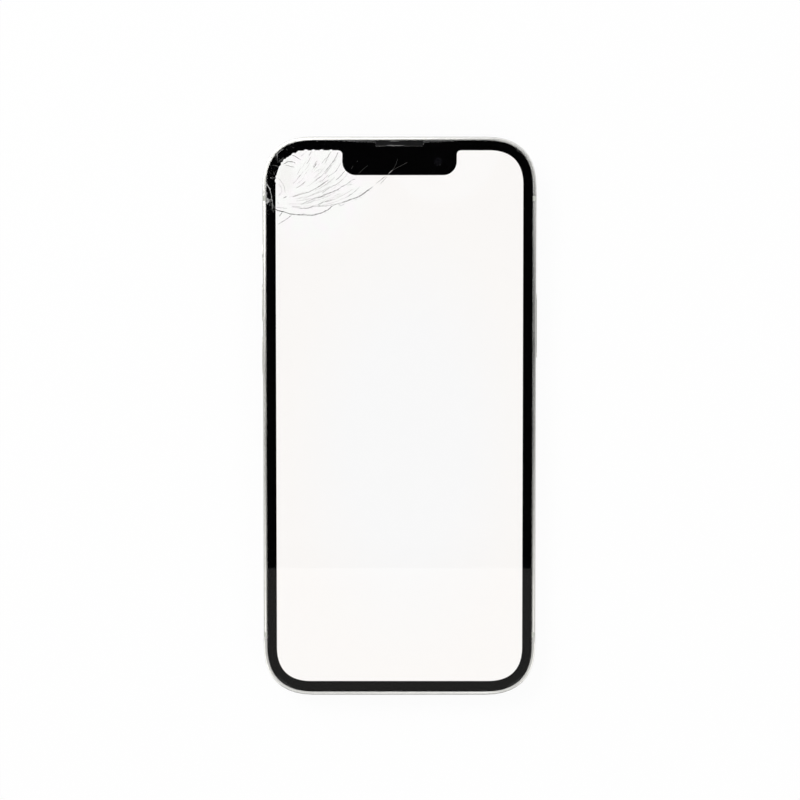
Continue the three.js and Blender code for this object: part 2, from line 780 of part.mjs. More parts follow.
// Lens ring: a flange on the island and a neck through the glass, with a shoulder for its window
function lensRing(x, y) {
  const windowSeat = windowSetBack + windowThickness;
  const bore = barrelRadius + 0.35;
  const edge = 0.2;
  return turned([
    [bore, windowSeat], [windowRadius + 0.1, windowSeat], [windowRadius + 0.1, 0], [ringRadius - edge, 0],
    [ringRadius, edge], [ringRadius, ringRise], [ringNeckRadius, ringRise], [ringNeckRadius, rearSeat],
    [bore, rearSeat], [bore, windowSeat],
  ], x, y, 24);
}

function lensWindow(x, y) {
  return disc(windowRadius, x, y, windowSetBack, windowSetBack + windowThickness, 28);
}

// Camera: a stepped barrel that looks out of the ring, on a square body
function rearCamera(x, y) {
  const front = windowSetBack + windowThickness + 0.25;
  const barrel = turned([
    [0, front + 0.75], [1.3, front + 0.75], [1.9, front + 0.35], [2.7, front + 0.35], [3.2, front],
    [barrelRadius, front], [barrelRadius, plateTop + 0.5], [0, plateTop + 0.5],
  ], x, y);
  const shape = outline(cameraBody, cameraBody, 1.2, x, y);
  const body = softSlab(shape, plateTop, plateTop + cameraHeight, 0.15, 1, 3).intersect(room);
  return barrel.add(body);
}

// A sheet-steel plate over both camera bodies, with a hole at the back of each
function cameraBracket() {
  const low = plateTop + cameraHeight;
  const high = low + bracketThickness;
  const width = cameraBody + 2 * bracketReach;
  let bracket = slab(outline(width, width + lensPitch, 2.0, lensX, islandY), low, high, 4);
  bracket = bracket.intersect(room);
  for (const y of [lensUpperY, lensLowerY]) {
    bracket = bracket.subtract(disc(bracketHole, lensX, y, low - 1, high + 1, 16));
  }
  return bracket;
}

function flashLens() {
  const face = ringRise - 0.05;
  return turned([
    [0, face + 0.15], [flashRadius - 0.5, face + 0.15], [flashRadius - 0.35, face], [flashRadius, face],
    [flashRadius, rearSeat], [0, rearSeat],
  ], flashX, islandY, 24);
}

function flashBoard() {
  const half = flashLampWidth / 2;
  const sheet = outline(flashBoardWidth, flashBoardWidth, 0.8, flashX, islandY);
  const board = slab(sheet, plateTop, plateTop + 0.6, 3);
  const lamp = box(
    flashX - half, flashX + half, islandY - half, islandY + half, rearSeat + 0.15, plateTop + 0.3);
  return board.add(lamp);
}

// Port: a drawn steel shell closed at the back, and the moulding that holds its contacts
const portMouth = -halfLength + portSetBack;
const portBack = portMouth + portDepth;

function portShell() {
  const outer = stadium(portWidth + 2 * portWall, portHeight + 2 * portWall, 0, sideMiddle);
  const inner = stadium(portWidth, portHeight, 0, sideMiddle);
  const shell = prismY(outer, portMouth, portBack + portCap, 8);
  return shell.subtract(prismY(inner, portMouth - 1, portBack, 8));
}

function portContacts() {
  const half = (portWidth - portHeight) / 2;
  const low = sideMiddle - portHeight / 2;
  const front = portMouth + 1.4;
  let moulding = box(-half, half, front, portBack, low, low + 0.4);
  const pitch = 2 * half / portContactCount;
  for (let i = 0; i < portContactCount; i += 1) {
    const x = -half + pitch * (i + 0.5);
    moulding = moulding.add(box(x - 0.17, x + 0.17, front + 0.6, portBack - 1, low + 0.3, low + 0.5));
  }
  return moulding;
}

// Ribbon under the port, which runs between the motor and the speaker and turns under the board
function portFlex() {
  const low = plateTop;
  const high = low + ribbonThickness;
  const half = portRibbonWidth / 2;
  const shellUnder = sideMiddle - portHeight / 2 - portWall;
  const start = -halfLength + roomInset + 0.05;
  const stop = boardLow - 0.6;
  const turnY = boardLow - 4.2;
  const tongueRight = boardRight - 3.8;
  const tongueLeft = tongueRight - 7.0;
  const run = box(-half, half, start, stop, low, high);
  const branch = box(tongueLeft, half, turnY, stop, low, high);
  const tongue = box(tongueLeft, tongueRight, turnY, boardLow + 2.0, low, high);
  const pad = box(-half + 0.9, half - 0.9, start + 0.2, portBack + 0.4, high - 0.1, shellUnder);
  const plug = box(
    tongueLeft + 1, tongueRight - 1, boardLow + 0.3, boardLow + 1.7, high - 0.1, low + boardStandoff);
  return run.add(branch).add(tongue).add(pad).add(plug);
}

// Screw with a six-lobed socket, its head towards the bottom end
function bottomScrew(x) {
  const star = new THREE.Shape();
  const lobes = 6;
  const turns = lobes * 4;
  for (let i = 0; i < turns; i += 1) {
    const angle = i / turns * Math.PI * 2;
    const radius = 0.4 + 0.1 * Math.cos(lobes * angle);
    const to = [x + radius * Math.cos(angle), sideMiddle + radius * Math.sin(angle)];
    if (i === 0) star.moveTo(...to);
    else star.lineTo(...to);
  }
  const face = counterboreY - screwHeadLength;
  const head = prismY(circle(screwHeadRadius, x, sideMiddle), face, counterboreY, 8);
  const shank = prismY(circle(screwShankRadius, x, sideMiddle), counterboreY - 0.1, face + screwLength, 6);
  return head.add(shank).subtract(prismY(star, face - 1, face + 0.35, 1));
}

// Inner pieces

const room = slab(bodyOutline(roomInset), plateTop, frontFace, hiddenSteps);

function loudspeaker() {
  const high = sideMiddle + 1.6;
  const left = screwFromMiddle + 1.2;
  const right = halfWidth - roomInset;
  const top = batteryLow - speakerToBattery;
  const bottom = -halfLength + roomInset;
  const body = box(left, halfWidth, -halfLength, top, plateTop, high).intersect(room);
  const dish = outline(
    right - left - 4, top - bottom - 5.2, 2.5, (left + right) / 2 + 0.4, (top + bottom) / 2 + 0.6);
  const spout = box(
    speakerX(0) - spoutReach, speakerX(speakerHoles - 1) + spoutReach, -innerY, -innerY + 4,
    sideMiddle - spoutHeight / 2, sideMiddle + spoutHeight / 2);
  return body.subtract(slab(dish, high - 0.5, high + 1, 4)).add(spout);
}

function bottomMicrophone() {
  const left = micX(micHoles - 1) - spoutReach;
  const right = micX(0) + spoutReach;
  return box(left, right, -innerY, -innerY + 1.9, sideMiddle - 1.5, sideMiddle + spoutHeight / 2);
}

function hapticMotor() {
  const x = -halfWidth + roomInset + motorTab + motorLength / 2;
  const y = boardLow - motorToBoard - motorWidth / 2;
  const body = softSlab(
    outline(motorLength, motorWidth, 1.0, x, y), plateTop, plateTop + motorHeight, 0.2, 1, 3);
  const tabs = slab(outline(motorLength + 2 * motorTab, 3.6, 1.0, x, y), plateTop, plateTop + 0.5, 3);
  return body.add(tabs);
}

const batteryLow = boardLow - 0.1;
const batteryHigh = lensLowerY - cameraBody / 2 - cameraToBattery;

function battery() {
  const right = innerX - stripThickness - innerGap;
  const shape = outline(
    right - batteryLeft, batteryHigh - batteryLow, 1.6,
    (right + batteryLeft) / 2, (batteryLow + batteryHigh) / 2);
  return softSlab(shape, plateTop, plateTop + batteryHeight, 0.4, 2, 3);
}

function batteryTab() {
  const middle = readerHigh + 10.8;
  return box(boardRight - 2.6, batteryLeft, middle - 3, middle + 3, boardTop, boardTop + ribbonThickness);
}

function logicBoard() {
  const low = plateTop + boardStandoff;
  const shape = outline(
    boardWidth, boardHigh - boardLow, 1.2, (boardLeft + boardRight) / 2, (boardLow + boardHigh) / 2);
  const corner = box(boardLeft - 1, boardLeft + 6.5, boardHigh - 5.4, boardHigh + 1, low - 1, boardTop + 1);
  return slab(shape, low, boardTop, 3).subtract(corner);
}

// A pressed lid over the chips, with a row of vent holes
function boardShield(lowY, highY) {
  const left = boardLeft + 1.4;
  const right = boardRight - 3.2;
  const high = boardTop + shieldHeight;
  const shape = outline(right - left, highY - lowY, 0.8, (left + right) / 2, (lowY + highY) / 2);
  let lid = softSlab(shape, boardTop, high, 0.2, 1, 3);
  const vents = 4;
  for (let i = 0; i < vents; i += 1) {
    const y = lowY + (highY - lowY) * (i + 1) / (vents + 1);
    lid = lid.subtract(disc(0.5, right - 1.8, y, high - 0.4, high + 1, 8));
  }
  return lid;
}

function chargingCoil() {
  const ring = circle(coilRadius, 0, coilCentreY);
  ring.holes.push(circle(coilInner, 0, coilCentreY));
  return slab(ring, rearSeat, rearSeat + coilThickness, 20);
}

function coilFerrite() {
  return disc(coilRadius, 0, coilCentreY, rearSeat + coilThickness, plateTop, 40);
}

// Pieces that look or speak out through the notch, on one bracket
const noseLow = plateTop + noseLift;

function noseBracket() {
  const low = noseLow - noseSheet;
  const sheet = box(-13.4, 13.2, notchMiddle - 2.6, innerY - lipWidth - innerGap, low, noseLow);
  const foot = box(-13.4, -11.4, notchMiddle - 2.6, notchMiddle + 1.4, plateTop, low);
  const otherFoot = box(-1.0, 1.0, notchMiddle - 2.6, notchMiddle + 1.4, plateTop, low);
  return sheet.add(foot).add(otherFoot);
}

function frontCamera() {
  const half = 2.8;
  const body = box(
    frontCameraX - half, frontCameraX + half, notchMiddle - 2.5, notchMiddle + 2.4, noseLow, panelUnder);
  const barrel = turned([
    [0, panelUnder - 1], [2.2, panelUnder - 1], [2.2, maskUnder], [1.3, maskUnder], [0.9, maskUnder - 0.3],
    [0, maskUnder - 0.45],
  ], frontCameraX, noseY, 20);
  return body.add(barrel);
}

function sensorModule() {
  const half = 3.1;
  const body = box(
    sensorX - half, sensorX + half, notchMiddle - 2.4, notchMiddle + 2.2, noseLow, panelUnder);
  const window = slab(outline(4.8, 3.0, 0.8, sensorX, noseY), panelUnder - 0.5, maskUnder, 3);
  return body.add(window);
}

function earpieceSpeaker() {
  const high = ledge - 0.4;
  const body = softSlab(
    outline(10.6, 4.6, 0.8, 0, notchMiddle + 0.1), noseLow, high, 0.2, 1, 3);
  const grooves = 3;
  let speaker = body;
  for (let i = 0; i < grooves; i += 1) {
    const x = (i - 1) * 2.8;
    speaker = speaker.subtract(slab(stadium(2.0, 0.8, x, notchMiddle + 1.2), high - 0.4, high + 1, 3));
  }
  return speaker;
}

function earpieceMesh() {
  const top = glassLength / 2 - 0.05;
  const depth = earpieceDepth - glassGap - 0.05;
  const shape = outline(
    earpieceLength - 2 * glassGap, depth, earpieceCorner - glassGap, 0, top - depth / 2);
  return slab(shape, maskUnder, frontFace - 0.2, 4);
}

// Ribbon from the panel's back, looping down to its connector on the board
function displayFlex() {
  const thickness = ribbonThickness;
  const low = boardTop;
  const high = panelUnder;
  const bend = (high - low - 1.0) / 2;
  const startY = boardHigh - 18.5;
  const bendY = startY + 5.5;
  const connectorY = startY + 1.0;
  const shape = new THREE.Shape();
  shape.moveTo(startY, high);
  shape.lineTo(bendY, high);
  shape.absarc(bendY, high - bend, bend, Math.PI / 2, -Math.PI / 2, true);
  shape.lineTo(connectorY + 2.0, high - 2 * bend);
  shape.lineTo(connectorY + 2.0, low);
  shape.lineTo(connectorY, low);
  shape.lineTo(connectorY, high - 2 * bend + thickness);
  shape.lineTo(bendY, high - 2 * bend + thickness);
  shape.absarc(bendY, high - bend, bend - thickness, -Math.PI / 2, Math.PI / 2, false);
  shape.lineTo(startY, high - thickness);
  return prismX(shape, boardRight - 13.0, boardRight - 6.0, 6);
}

// Assembly
const displayGroup = new THREE.Group();
const housingGroup = new THREE.Group();
const cameraGroup = new THREE.Group();
const controlGroup = new THREE.Group();
const innerGroup = new THREE.Group();
phone.add(displayGroup, housingGroup, cameraGroup, controlGroup, innerGroup);

place('cover_glass', coverGlass(), clearGlass, displayGroup);
place('border_mask', borderMask(), blackInk, displayGroup);
place('display_panel', displayPanel(), litPanel, displayGroup);
place('display_bezel', displayBezel(), darkPlastic, displayGroup);
place('display_gasket', displayGasket(), foam, displayGroup);
place('earpiece_mesh', earpieceMesh(), blackInk, displayGroup);

place('chassis', chassis(), paleMetal, housingGroup);
place('top_band', endBand(1), paleMetal, housingGroup);
place('bottom_band', bottomBand(), paleMetal, housingGroup);
for (const [end, signY] of [['upper', 1], ['lower', -1]]) {
  for (const [side, signX] of [['left', -1], ['right', 1]]) {
    place(`antenna_insert_${end}_${side}`, antennaInsert(signX, signY), palePlastic, housingGroup);
  }
}
place('rear_glass', rearGlass(), paleGlass, housingGroup);
place('bottom_screw_left', bottomScrew(-screwFromMiddle), steel, housingGroup);
place('bottom_screw_right', bottomScrew(screwFromMiddle), steel, housingGroup);

for (const [end, y] of [['upper', lensUpperY], ['lower', lensLowerY]]) {
  place(`lens_ring_${end}`, lensRing(lensX, y), paleMetal, cameraGroup);
  place(`lens_window_${end}`, lensWindow(lensX, y), clearGlass, cameraGroup);
  place(`rear_camera_${end}`, rearCamera(lensX, y), lensGlass, cameraGroup);
}
place('camera_bracket', cameraBracket(), steel, cameraGroup);
place('flash_lens', flashLens(), clearGlass, cameraGroup);
place('flash_board', flashBoard(), amberFlex, cameraGroup);

place('power_button', sideButton(1, powerY, powerLength), paleMetal, controlGroup);
place('volume_up_button', sideButton(-1, volumeUpY, volumeLength), paleMetal, controlGroup);
place('volume_down_button', sideButton(-1, volumeDownY, volumeLength), paleMetal, controlGroup);
place('silent_switch', silentSwitch(), paleMetal, controlGroup);
const powerStrip = switchStrip(1, powerY - powerStripReach, powerY + powerStripReach, [powerY]);
const volumeStrip = switchStrip(
  -1, volumeDownY - volumeStripBelow, silentY + volumeStripAbove, [volumeDownY, volumeUpY]);
place('power_switch_strip', powerStrip, amberFlex, controlGroup);
place('volume_switch_strip', volumeStrip, amberFlex, controlGroup);
place('card_tray', cardTray(), paleMetal, controlGroup);
place('data_card', dataCard(), copper, controlGroup);
place('card_reader', cardReader(), steel, controlGroup);

place('battery', battery(), batteryWrap, innerGroup);
place('battery_tab', batteryTab(), amberFlex, innerGroup);
place('logic_board', logicBoard(), greenBoard, innerGroup);
place('board_shield_upper', boardShield(readerHigh + shieldGap, boardHigh - 21), steel, innerGroup);
place('board_shield_lower', boardShield(boardLow + 2, readerLow - shieldGap), steel, innerGroup);
place('charging_coil', chargingCoil(), copper, innerGroup);
place('coil_ferrite', coilFerrite(), darkPlastic, innerGroup);
place('loudspeaker', loudspeaker(), darkPlastic, innerGroup);
place('bottom_microphone', bottomMicrophone(), steel, innerGroup);
place('haptic_motor', hapticMotor(), steel, innerGroup);
place('port_shell', portShell(), steel, innerGroup);
place('port_contacts', portContacts(), darkPlastic, innerGroup);
place('port_flex', portFlex(), amberFlex, innerGroup);
place('nose_bracket', noseBracket(), steel, innerGroup);
place('front_camera', frontCamera(), lensGlass, innerGroup);
place('sensor_module', sensorModule(), lensGlass, innerGroup);
place('earpiece_speaker', earpieceSpeaker(), darkPlastic, innerGroup);
place('display_flex', displayFlex(), amberFlex, innerGroup);

export default phone;
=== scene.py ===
import math
import random

import bmesh
import bpy
from mathutils import Matrix, Vector


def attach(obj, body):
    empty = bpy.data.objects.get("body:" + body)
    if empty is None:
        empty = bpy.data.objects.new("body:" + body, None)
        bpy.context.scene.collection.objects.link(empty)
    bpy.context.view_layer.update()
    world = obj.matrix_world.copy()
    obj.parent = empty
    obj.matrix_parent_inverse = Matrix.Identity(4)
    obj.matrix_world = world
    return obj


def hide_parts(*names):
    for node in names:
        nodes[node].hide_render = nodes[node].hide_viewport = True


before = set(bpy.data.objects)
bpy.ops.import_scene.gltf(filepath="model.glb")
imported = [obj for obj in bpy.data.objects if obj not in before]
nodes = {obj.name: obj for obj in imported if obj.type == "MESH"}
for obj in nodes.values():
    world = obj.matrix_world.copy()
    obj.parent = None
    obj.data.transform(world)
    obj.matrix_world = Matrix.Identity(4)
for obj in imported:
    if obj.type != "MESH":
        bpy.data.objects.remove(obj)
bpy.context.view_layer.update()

# A compact phone with a shattered cover glass, lying on its back with its screen lit white
mm = 0.001
scene = bpy.context.scene
print("frame loaded,", len(nodes), "nodes")


def linked(name, data):
    made = bpy.data.objects.new(name, data)
    scene.collection.objects.link(made)
    return made


# The camera looks down from just above the middle, leaning a little towards the bottom end
camera = {
    "aim": (0.11, 4.12, 9.25),  # mm, on the face of the glass
    "distance": 450.0,
    "lean": 2.41,  # degrees
    "lens": 86.14, "sensor": 36.0,  # for a square picture
    "nearest": 0.01,  # metres
}


def addCamera():
    data = bpy.data.cameras.new("camera")
    data.lens = camera["lens"]
    data.sensor_width = camera["sensor"]
    data.clip_start = camera["nearest"]
    lean = math.radians(camera["lean"])
    back = Vector((0, math.sin(lean), math.cos(lean)))
    eye = linked("camera", data)
    eye.location = Vector(camera["aim"]) * mm + back * camera["distance"] * mm
    eye.rotation_euler = (-lean, 0, 0)
    scene.camera = eye


addCamera()


# Node trees, written as nested calls: an input given as a socket is linked, anything else is set.
# A new node joins the tree of the first node or socket that its call is given
materials = {}


def newShader(name):
    material = bpy.data.materials.new(name)
    material.use_nodes = True
    materials[name] = material
    return material.node_tree.nodes["Principled BSDF"]


def add(near, kind, inputs=None, **settings):
    made = near.id_data.nodes.new("ShaderNode" + kind)
    for key, value in settings.items():
        setattr(made, key, value)
    wire(made, inputs or {})
    return made


def wire(made, inputs):
    for key, value in inputs.items():
        if isinstance(value, bpy.types.NodeSocket):
            made.id_data.links.new(value, made.inputs[key])
        else:
            made.inputs[key].default_value = value


def show(socket):
    tree = socket.id_data
    tree.links.new(socket, tree.nodes["Material Output"].inputs["Surface"])


def colour(r, g, b):
    # an sRGB colour of 0 to 255, as linear light
    def linear(v):
        v = v / 255
        return v / 12.92 if v <= 0.04045 else ((v + 0.055) / 1.055) ** 2.4
    return (linear(r), linear(g), linear(b), 1.0)


def position(near, place=(0, 0, 0), stretch=(1, 1, 1), turn=(0, 0, 0)):
    coordinate = add(near, "TexCoord")
    mapped = add(near, "Mapping", {
        "Vector": coordinate.outputs["Object"], "Location": place, "Scale": stretch, "Rotation": turn})
    return mapped.outputs["Vector"]


def noise(vector, size, detail=3.0, roughness=0.55, distortion=0.0):
    # size is the width of a blotch, in mm
    made = add(vector, "TexNoise", {
        "Vector": vector, "Scale": 1 / (size * mm), "Detail": detail, "Roughness": roughness,
        "Distortion": distortion})
    return made.outputs["Fac"]


def rings(near, x, y, density):
    # circles round a place in mm
    made = add(near, "TexWave", {
        "Vector": position(near, (-x * mm, -y * mm, 0)), "Scale": density}, wave_type="RINGS",
        rings_direction="Z")
    return made.outputs["Fac"]


def ramp(value, low, high, toLow=0.0, toHigh=1.0):
    made = add(value, "MapRange", {
        "Value": value, "From Min": low, "From Max": high, "To Min": toLow, "To Max": toHigh})
    return made.outputs["Result"]


def mixed(share, a, b, blend="MIX"):
    made = add(share, "Mix", data_type="RGBA", blend_type=blend)
    wire(made, {0: share, 6: a, 7: b})
    return made.outputs[2]


def tones(share, first, second):
    return mixed(share, colour(*first), colour(*second))


def mottled(cloud, first, second):
    # the middle of a noise's range, spread from one tone to the other
    return tones(ramp(cloud, 0.35, 0.65), first, second)


def math2(operation, a, b=0.0):
    made = add(a, "Math", {0: a, 1: b}, operation=operation)
    return made.outputs[0]


def bump(height, depth):
    # depth is the height of the relief, in mm
    made = add(height, "Bump", {"Height": height, "Strength": 1.0, "Distance": depth * mm})
    return made.outputs["Normal"]


# Finishes made of a mottled colour, an uneven gloss and a fine relief; grain, blotch and relief are in mm
looks = {
    "steel": {
        "colour": (176, 178, 181), "second": (158, 160, 164), "metal": 1.0, "gloss": (0.24, 0.40),
        "grain": 0.12, "stretch": (1, 0.06, 1), "relief": 0.004},
    "darkPlastic": {
        "colour": (34, 35, 38), "second": (27, 28, 30), "gloss": (0.42, 0.62), "grain": 0.14,
        "relief": 0.006},
    "foam": {
        "colour": (46, 46, 48), "second": (36, 36, 38), "gloss": (0.85, 0.98), "grain": 0.10,
        "relief": 0.03},
    "batteryWrap": {
        "colour": (38, 39, 42), "second": (30, 31, 34), "gloss": (0.34, 0.52), "grain": 0.5,
        "blotch": 14.0, "relief": 0.02},
    "paleInsert": {
        "colour": (196, 198, 190), "second": (188, 190, 182), "gloss": (0.45, 0.58), "grain": 0.10,
        "relief": 0.003},
    "ferrite": {
        "colour": (48, 48, 52), "second": (40, 40, 43), "gloss": (0.5, 0.7), "grain": 0.2,
        "relief": 0.01, "speck": (70, 70, 76)},
    "card": {
        "colour": (226, 222, 212), "second": (218, 214, 203), "gloss": (0.38, 0.5), "grain": 0.2,
        "relief": 0.002},
    "sensorGlass": {
        "colour": (7, 7, 11), "second": (4, 4, 7), "gloss": (0.25, 0.35), "grain": 0.6,
        "relief": 0.001, "specular": 0.04},
    "speakerMesh": {
        "colour": (30, 30, 32), "second": (20, 20, 22), "gloss": (0.5, 0.6), "grain": 0.1,
        "relief": 0.01, "specular": 0.2},
}


def finish(name, look):
    shader = newShader(name)
    vector = position(shader, stretch=look.get("stretch", (1, 1, 1)))
    plain = position(shader)
    grain = noise(vector, look["grain"], 4.0)
    blotch = noise(plain, look.get("blotch", 9.0))
    base = mottled(blotch, look["colour"], look["second"])
    if "speck" in look:
        base = mixed(ramp(grain, 0.62, 0.70, 0.0, 0.5), base, colour(*look["speck"]))
    gloss = ramp(math2("MULTIPLY", grain, blotch), 0.12, 0.38, *look["gloss"])
    wire(shader, {
        "Base Color": base, "Roughness": gloss, "Metallic": look.get("metal", 0.0),
        "Normal": bump(grain, look["relief"]), "Specular IOR Level": look.get("specular", 0.5)})


# Satin aluminium: blasted, anodised a pale warm silver, scuffed round the corner that struck the ground
aluminium = {
    "colour": (226, 226, 223), "second": (222, 222, 219),
    "key": (206, 206, 199), "keySecond": (201, 201, 194),
    "bead": 0.07,  # mm, the blasted grain
    "cloud": 16.0, "brushed": 0.20,
    "gloss": (0.20, 0.26),
    "struck": (-29.0, 55.0, 7.0),  # mm
    "reach": 15.0,
    "scratch": 0.35,
    "scuffed": (232, 232, 228), "scuffShare": 0.55,
    "relief": 0.002,
}


def satinMetal(name, polish=0.0, main="colour", other="second"):
    shader = newShader(name)
    plain = position(shader)
    bead = noise(plain, aluminium["bead"], 2.0)
    broad = noise(plain, aluminium["cloud"], 2.0)
    streak = noise(position(shader, stretch=(1, 0.03, 1)), aluminium["brushed"], 2.0)
    base = mottled(broad, aluminium[main], aluminium[other])
    place = tuple(-v * mm / (aluminium["reach"] * mm) for v in aluminium["struck"])
    near = add(shader, "TexGradient", {
        "Vector": position(shader, place, (1 / (aluminium["reach"] * mm),) * 3)}, gradient_type="SPHERICAL")
    scuff = ramp(noise(plain, aluminium["scratch"], 5.0, 0.7, 1.5), 0.55, 0.62)
    worn = math2("MULTIPLY", scuff, ramp(near.outputs["Fac"], 0.05, 0.7))
    base = mixed(math2("MULTIPLY", worn, aluminium["scuffShare"]), base, colour(*aluminium["scuffed"]))
    low, high = (v - polish for v in aluminium["gloss"])
    gloss = ramp(math2("ADD", broad, streak), 0.75, 1.25, low, high)
    gloss = math2("ADD", gloss, math2("MULTIPLY", worn, 0.12))
    height = math2("SUBTRACT", bead, math2("MULTIPLY", worn, 3.0))
    wire(shader, {
        "Base Color": base, "Roughness": gloss, "Metallic": 1.0,
        "Normal": bump(height, aluminium["relief"])})


# Clear cover glass with faint wipe marks
def clearGlass(name, tint, marks, ior=1.5):
    shader = newShader(name)
    wiped = noise(position(shader, stretch=(0.35, 1, 1), turn=(0, 0, 0.6)), 6.0, 5.0, 0.6, 0.8)
    gloss = ramp(wiped, 0.5, 0.75, 0.0, marks)
    wire(shader, {"Base Color": tint, "Roughness": gloss, "Transmission Weight": 1.0, "IOR": ior})


# The lit panel: plain white, warmer than neutral, with a cooler patch under the shattered glass, a painted
# glare in a round patch at its top and painted shade that dims its lower end a little.
# Its colours are linear light. A patch is x, y and its reach each way in mm, then its softness as a share
display = {
    "middle": (0.998, 0.997, 0.997, 1.0),
    "edge": (1.012, 0.992, 0.974, 1.0),
    "paintedGlare": (1.022, 1.008, 0.994, 1.0),
    "cool": (1.020, 1.014, 1.012, 1.0),
    "smoke": (0.975, 0.962, 0.955, 1.0),
    # painted shade: the lower end of the panel is dimmed a little, along the edge of a reflection in the
    # glass
    "paintedShadeLowEnd": (0.985, 0.984, 0.982, 1.0), "paintedShadeLowEndFade": (-40, -28),
    "flecks": [(0.975, 1.0, 0.965, 1.0), (1.0, 0.96, 0.985, 1.0)], "fleckSize": 2.6, "fleckShare": 0.45,
    "middlePatch": (2.0, -6.0, 21.0, 40.0, 0.35),
    # painted glare: a round patch at the top of the panel, a little brighter
    "paintedGlarePatch": (10.0, 64.0, 13.5, 13.5, 0.03),
    "shattered": (-20.0, 54.0, 13.0, 13.0, 0.25),
    "smokePatch": (-26.6, 56.0, 1.9, 3.2, 0.35),
}


def roundPatch(near, patch):
    x, y, reachX, reachY = (v * mm for v in display[patch][:4])
    soft = display[patch][4]
    vector = position(near, (-x / reachX, -y / reachY, 0), (1 / reachX, 1 / reachY, 0))
    length = add(near, "VectorMath", {0: vector}, operation="LENGTH").outputs["Value"]
    return ramp(length, 1 - soft, 1 + soft, 1.0, 0.0)


def litPanel():
    shader = newShader("litPanel")
    plain = position(shader)
    light = mixed(roundPatch(shader, "middlePatch"), display["edge"], display["middle"])
    # painted glare: the round patch at the top of the panel is made a little brighter
    light = mixed(roundPatch(shader, "paintedGlarePatch"), light, display["paintedGlare"])
    inFan = roundPatch(shader, "shattered")
    light = mixed(inFan, light, display["cool"])
    light = mixed(roundPatch(shader, "smokePatch"), light, display["smoke"])
    flecks = mixed(ramp(noise(plain, display["fleckSize"], 2.0), 0.42, 0.62), *display["flecks"])
    light = mixed(math2("MULTIPLY", inFan, display["fleckShare"]), light, flecks, "MULTIPLY")
    # painted shade: the panel's lower end is dimmed a little, along the edge of a reflection in the glass
    along = add(shader, "SeparateXYZ", {0: plain}).outputs["Y"]
    low, high = (v * mm for v in display["paintedShadeLowEndFade"])
    light = mixed(ramp(along, low, high, 1.0, 0.0), light, display["paintedShadeLowEnd"], "MULTIPLY")
    wire(shader, {
        "Base Color": (0.02, 0.02, 0.02, 1.0), "Roughness": 0.5, "Specular IOR Level": 0.0,
        "Emission Color": light, "Emission Strength": 1.0})


def blackInk():
    shader = newShader("blackInk")
    specks = noise(position(shader), 0.25, 4.0)
    wire(shader, {
        "Base Color": tones(ramp(specks, 0.3, 0.8), (2, 2, 3), (6, 6, 6)),
        "Roughness": ramp(specks, 0.3, 0.7, 0.4, 0.6), "Specular IOR Level": 0.0})


# Broken glass in lit and shaded copies: the cracks over the lit screen are darkened with painted shade, and
# those over the black border lightened with painted light, some dimmer than others
brokenLooks = {
    "darkCrack": ((38, 36, 35), (70, 67, 65)),
    "fineCrack": ((112, 103, 98), (150, 141, 136)),
    "dimCrack": ((60, 60, 58), (92, 92, 90)),
    "paleCrack": ((140, 140, 139), (188, 188, 187)),
}


def brokenGlass(name, first, second):
    shader = newShader(name)
    grit = noise(position(shader), 0.12, 4.0, 0.7)
    wire(shader, {
        "Base Color": mottled(grit, first, second), "Roughness": ramp(grit, 0.3, 0.7, 0.6, 0.8),
        "Normal": bump(grit, 0.01)})


# Rear glass: a pale colour layer under a clear polished face
def backGlass(name, gloss, coat):
    shader = newShader(name)
    plain = position(shader)
    broad = noise(plain, 20.0, 2.0)
    smears = noise(position(shader, stretch=(1, 0.5, 1)), 5.0, 5.0, 0.6, 1.0)
    wire(shader, {
        "Base Color": mottled(broad, (222, 220, 211), (217, 216, 207)),
        "Roughness": ramp(smears, 0.4, 0.7, *gloss), "Coat Weight": coat, "Coat Roughness": 0.03,
        "Normal": bump(noise(plain, 0.09, 2.0), 0.0004 + 0.003 * (1 - coat))})


def lensBlack():
    # dark glass whose coating mirrors violet in the middle and green towards the rim
    shader = newShader("lensBlack")
    facing = add(shader, "LayerWeight", {"Blend": 0.35}).outputs["Facing"]
    haze = noise(position(shader), 1.6)
    wire(shader, {
        "Base Color": tones(haze, (7, 7, 10), (12, 11, 16)),
        "Roughness": ramp(haze, 0.3, 0.7, 0.04, 0.09), "Specular IOR Level": 0.6,
        "Specular Tint": tones(facing, (178, 160, 255), (150, 225, 200))})


flashAt = (8.9, 48.75)  # mm, the middle of the flash
coilAt = (0.0, -8.0)


def flashDiffuser():
    shader = newShader("flashDiffuser")
    ridges = rings(shader, *flashAt, 260.0)
    wire(shader, {
        "Base Color": tones(ridges, (240, 226, 168), (250, 240, 200)),
        "Roughness": ramp(ridges, 0.0, 1.0, 0.15, 0.3),
        "Coat Weight": 1.0, "Coat Roughness": 0.02, "Normal": bump(ridges, 0.03)})


def woundCopper():
    shader = newShader("woundCopper")
    turns = rings(shader, *coilAt, 620.0)
    wire(shader, {
        "Base Color": tones(turns, (150, 84, 48), (212, 136, 88)), "Metallic": 1.0,
        "Roughness": ramp(turns, 0.0, 1.0, 0.42, 0.26), "Normal": bump(turns, 0.05)})


def circuitBoard():
    shader = newShader("circuitBoard")
    plain = position(shader)
    tracks = add(shader, "TexVoronoi", {"Vector": plain, "Scale": 900.0}, distance="MANHATTAN")
    lines = ramp(tracks.outputs["Distance"], 0.28, 0.34)
    base = tones(lines, (16, 46, 34), (30, 74, 52))
    pads = ramp(noise(plain, 0.7, 1.0), 0.66, 0.67)
    wire(shader, {
        "Base Color": mixed(pads, base, colour(190, 160, 90)), "Metallic": pads,
        "Roughness": ramp(lines, 0.0, 1.0, 0.32, 0.46), "Normal": bump(lines, 0.015)})


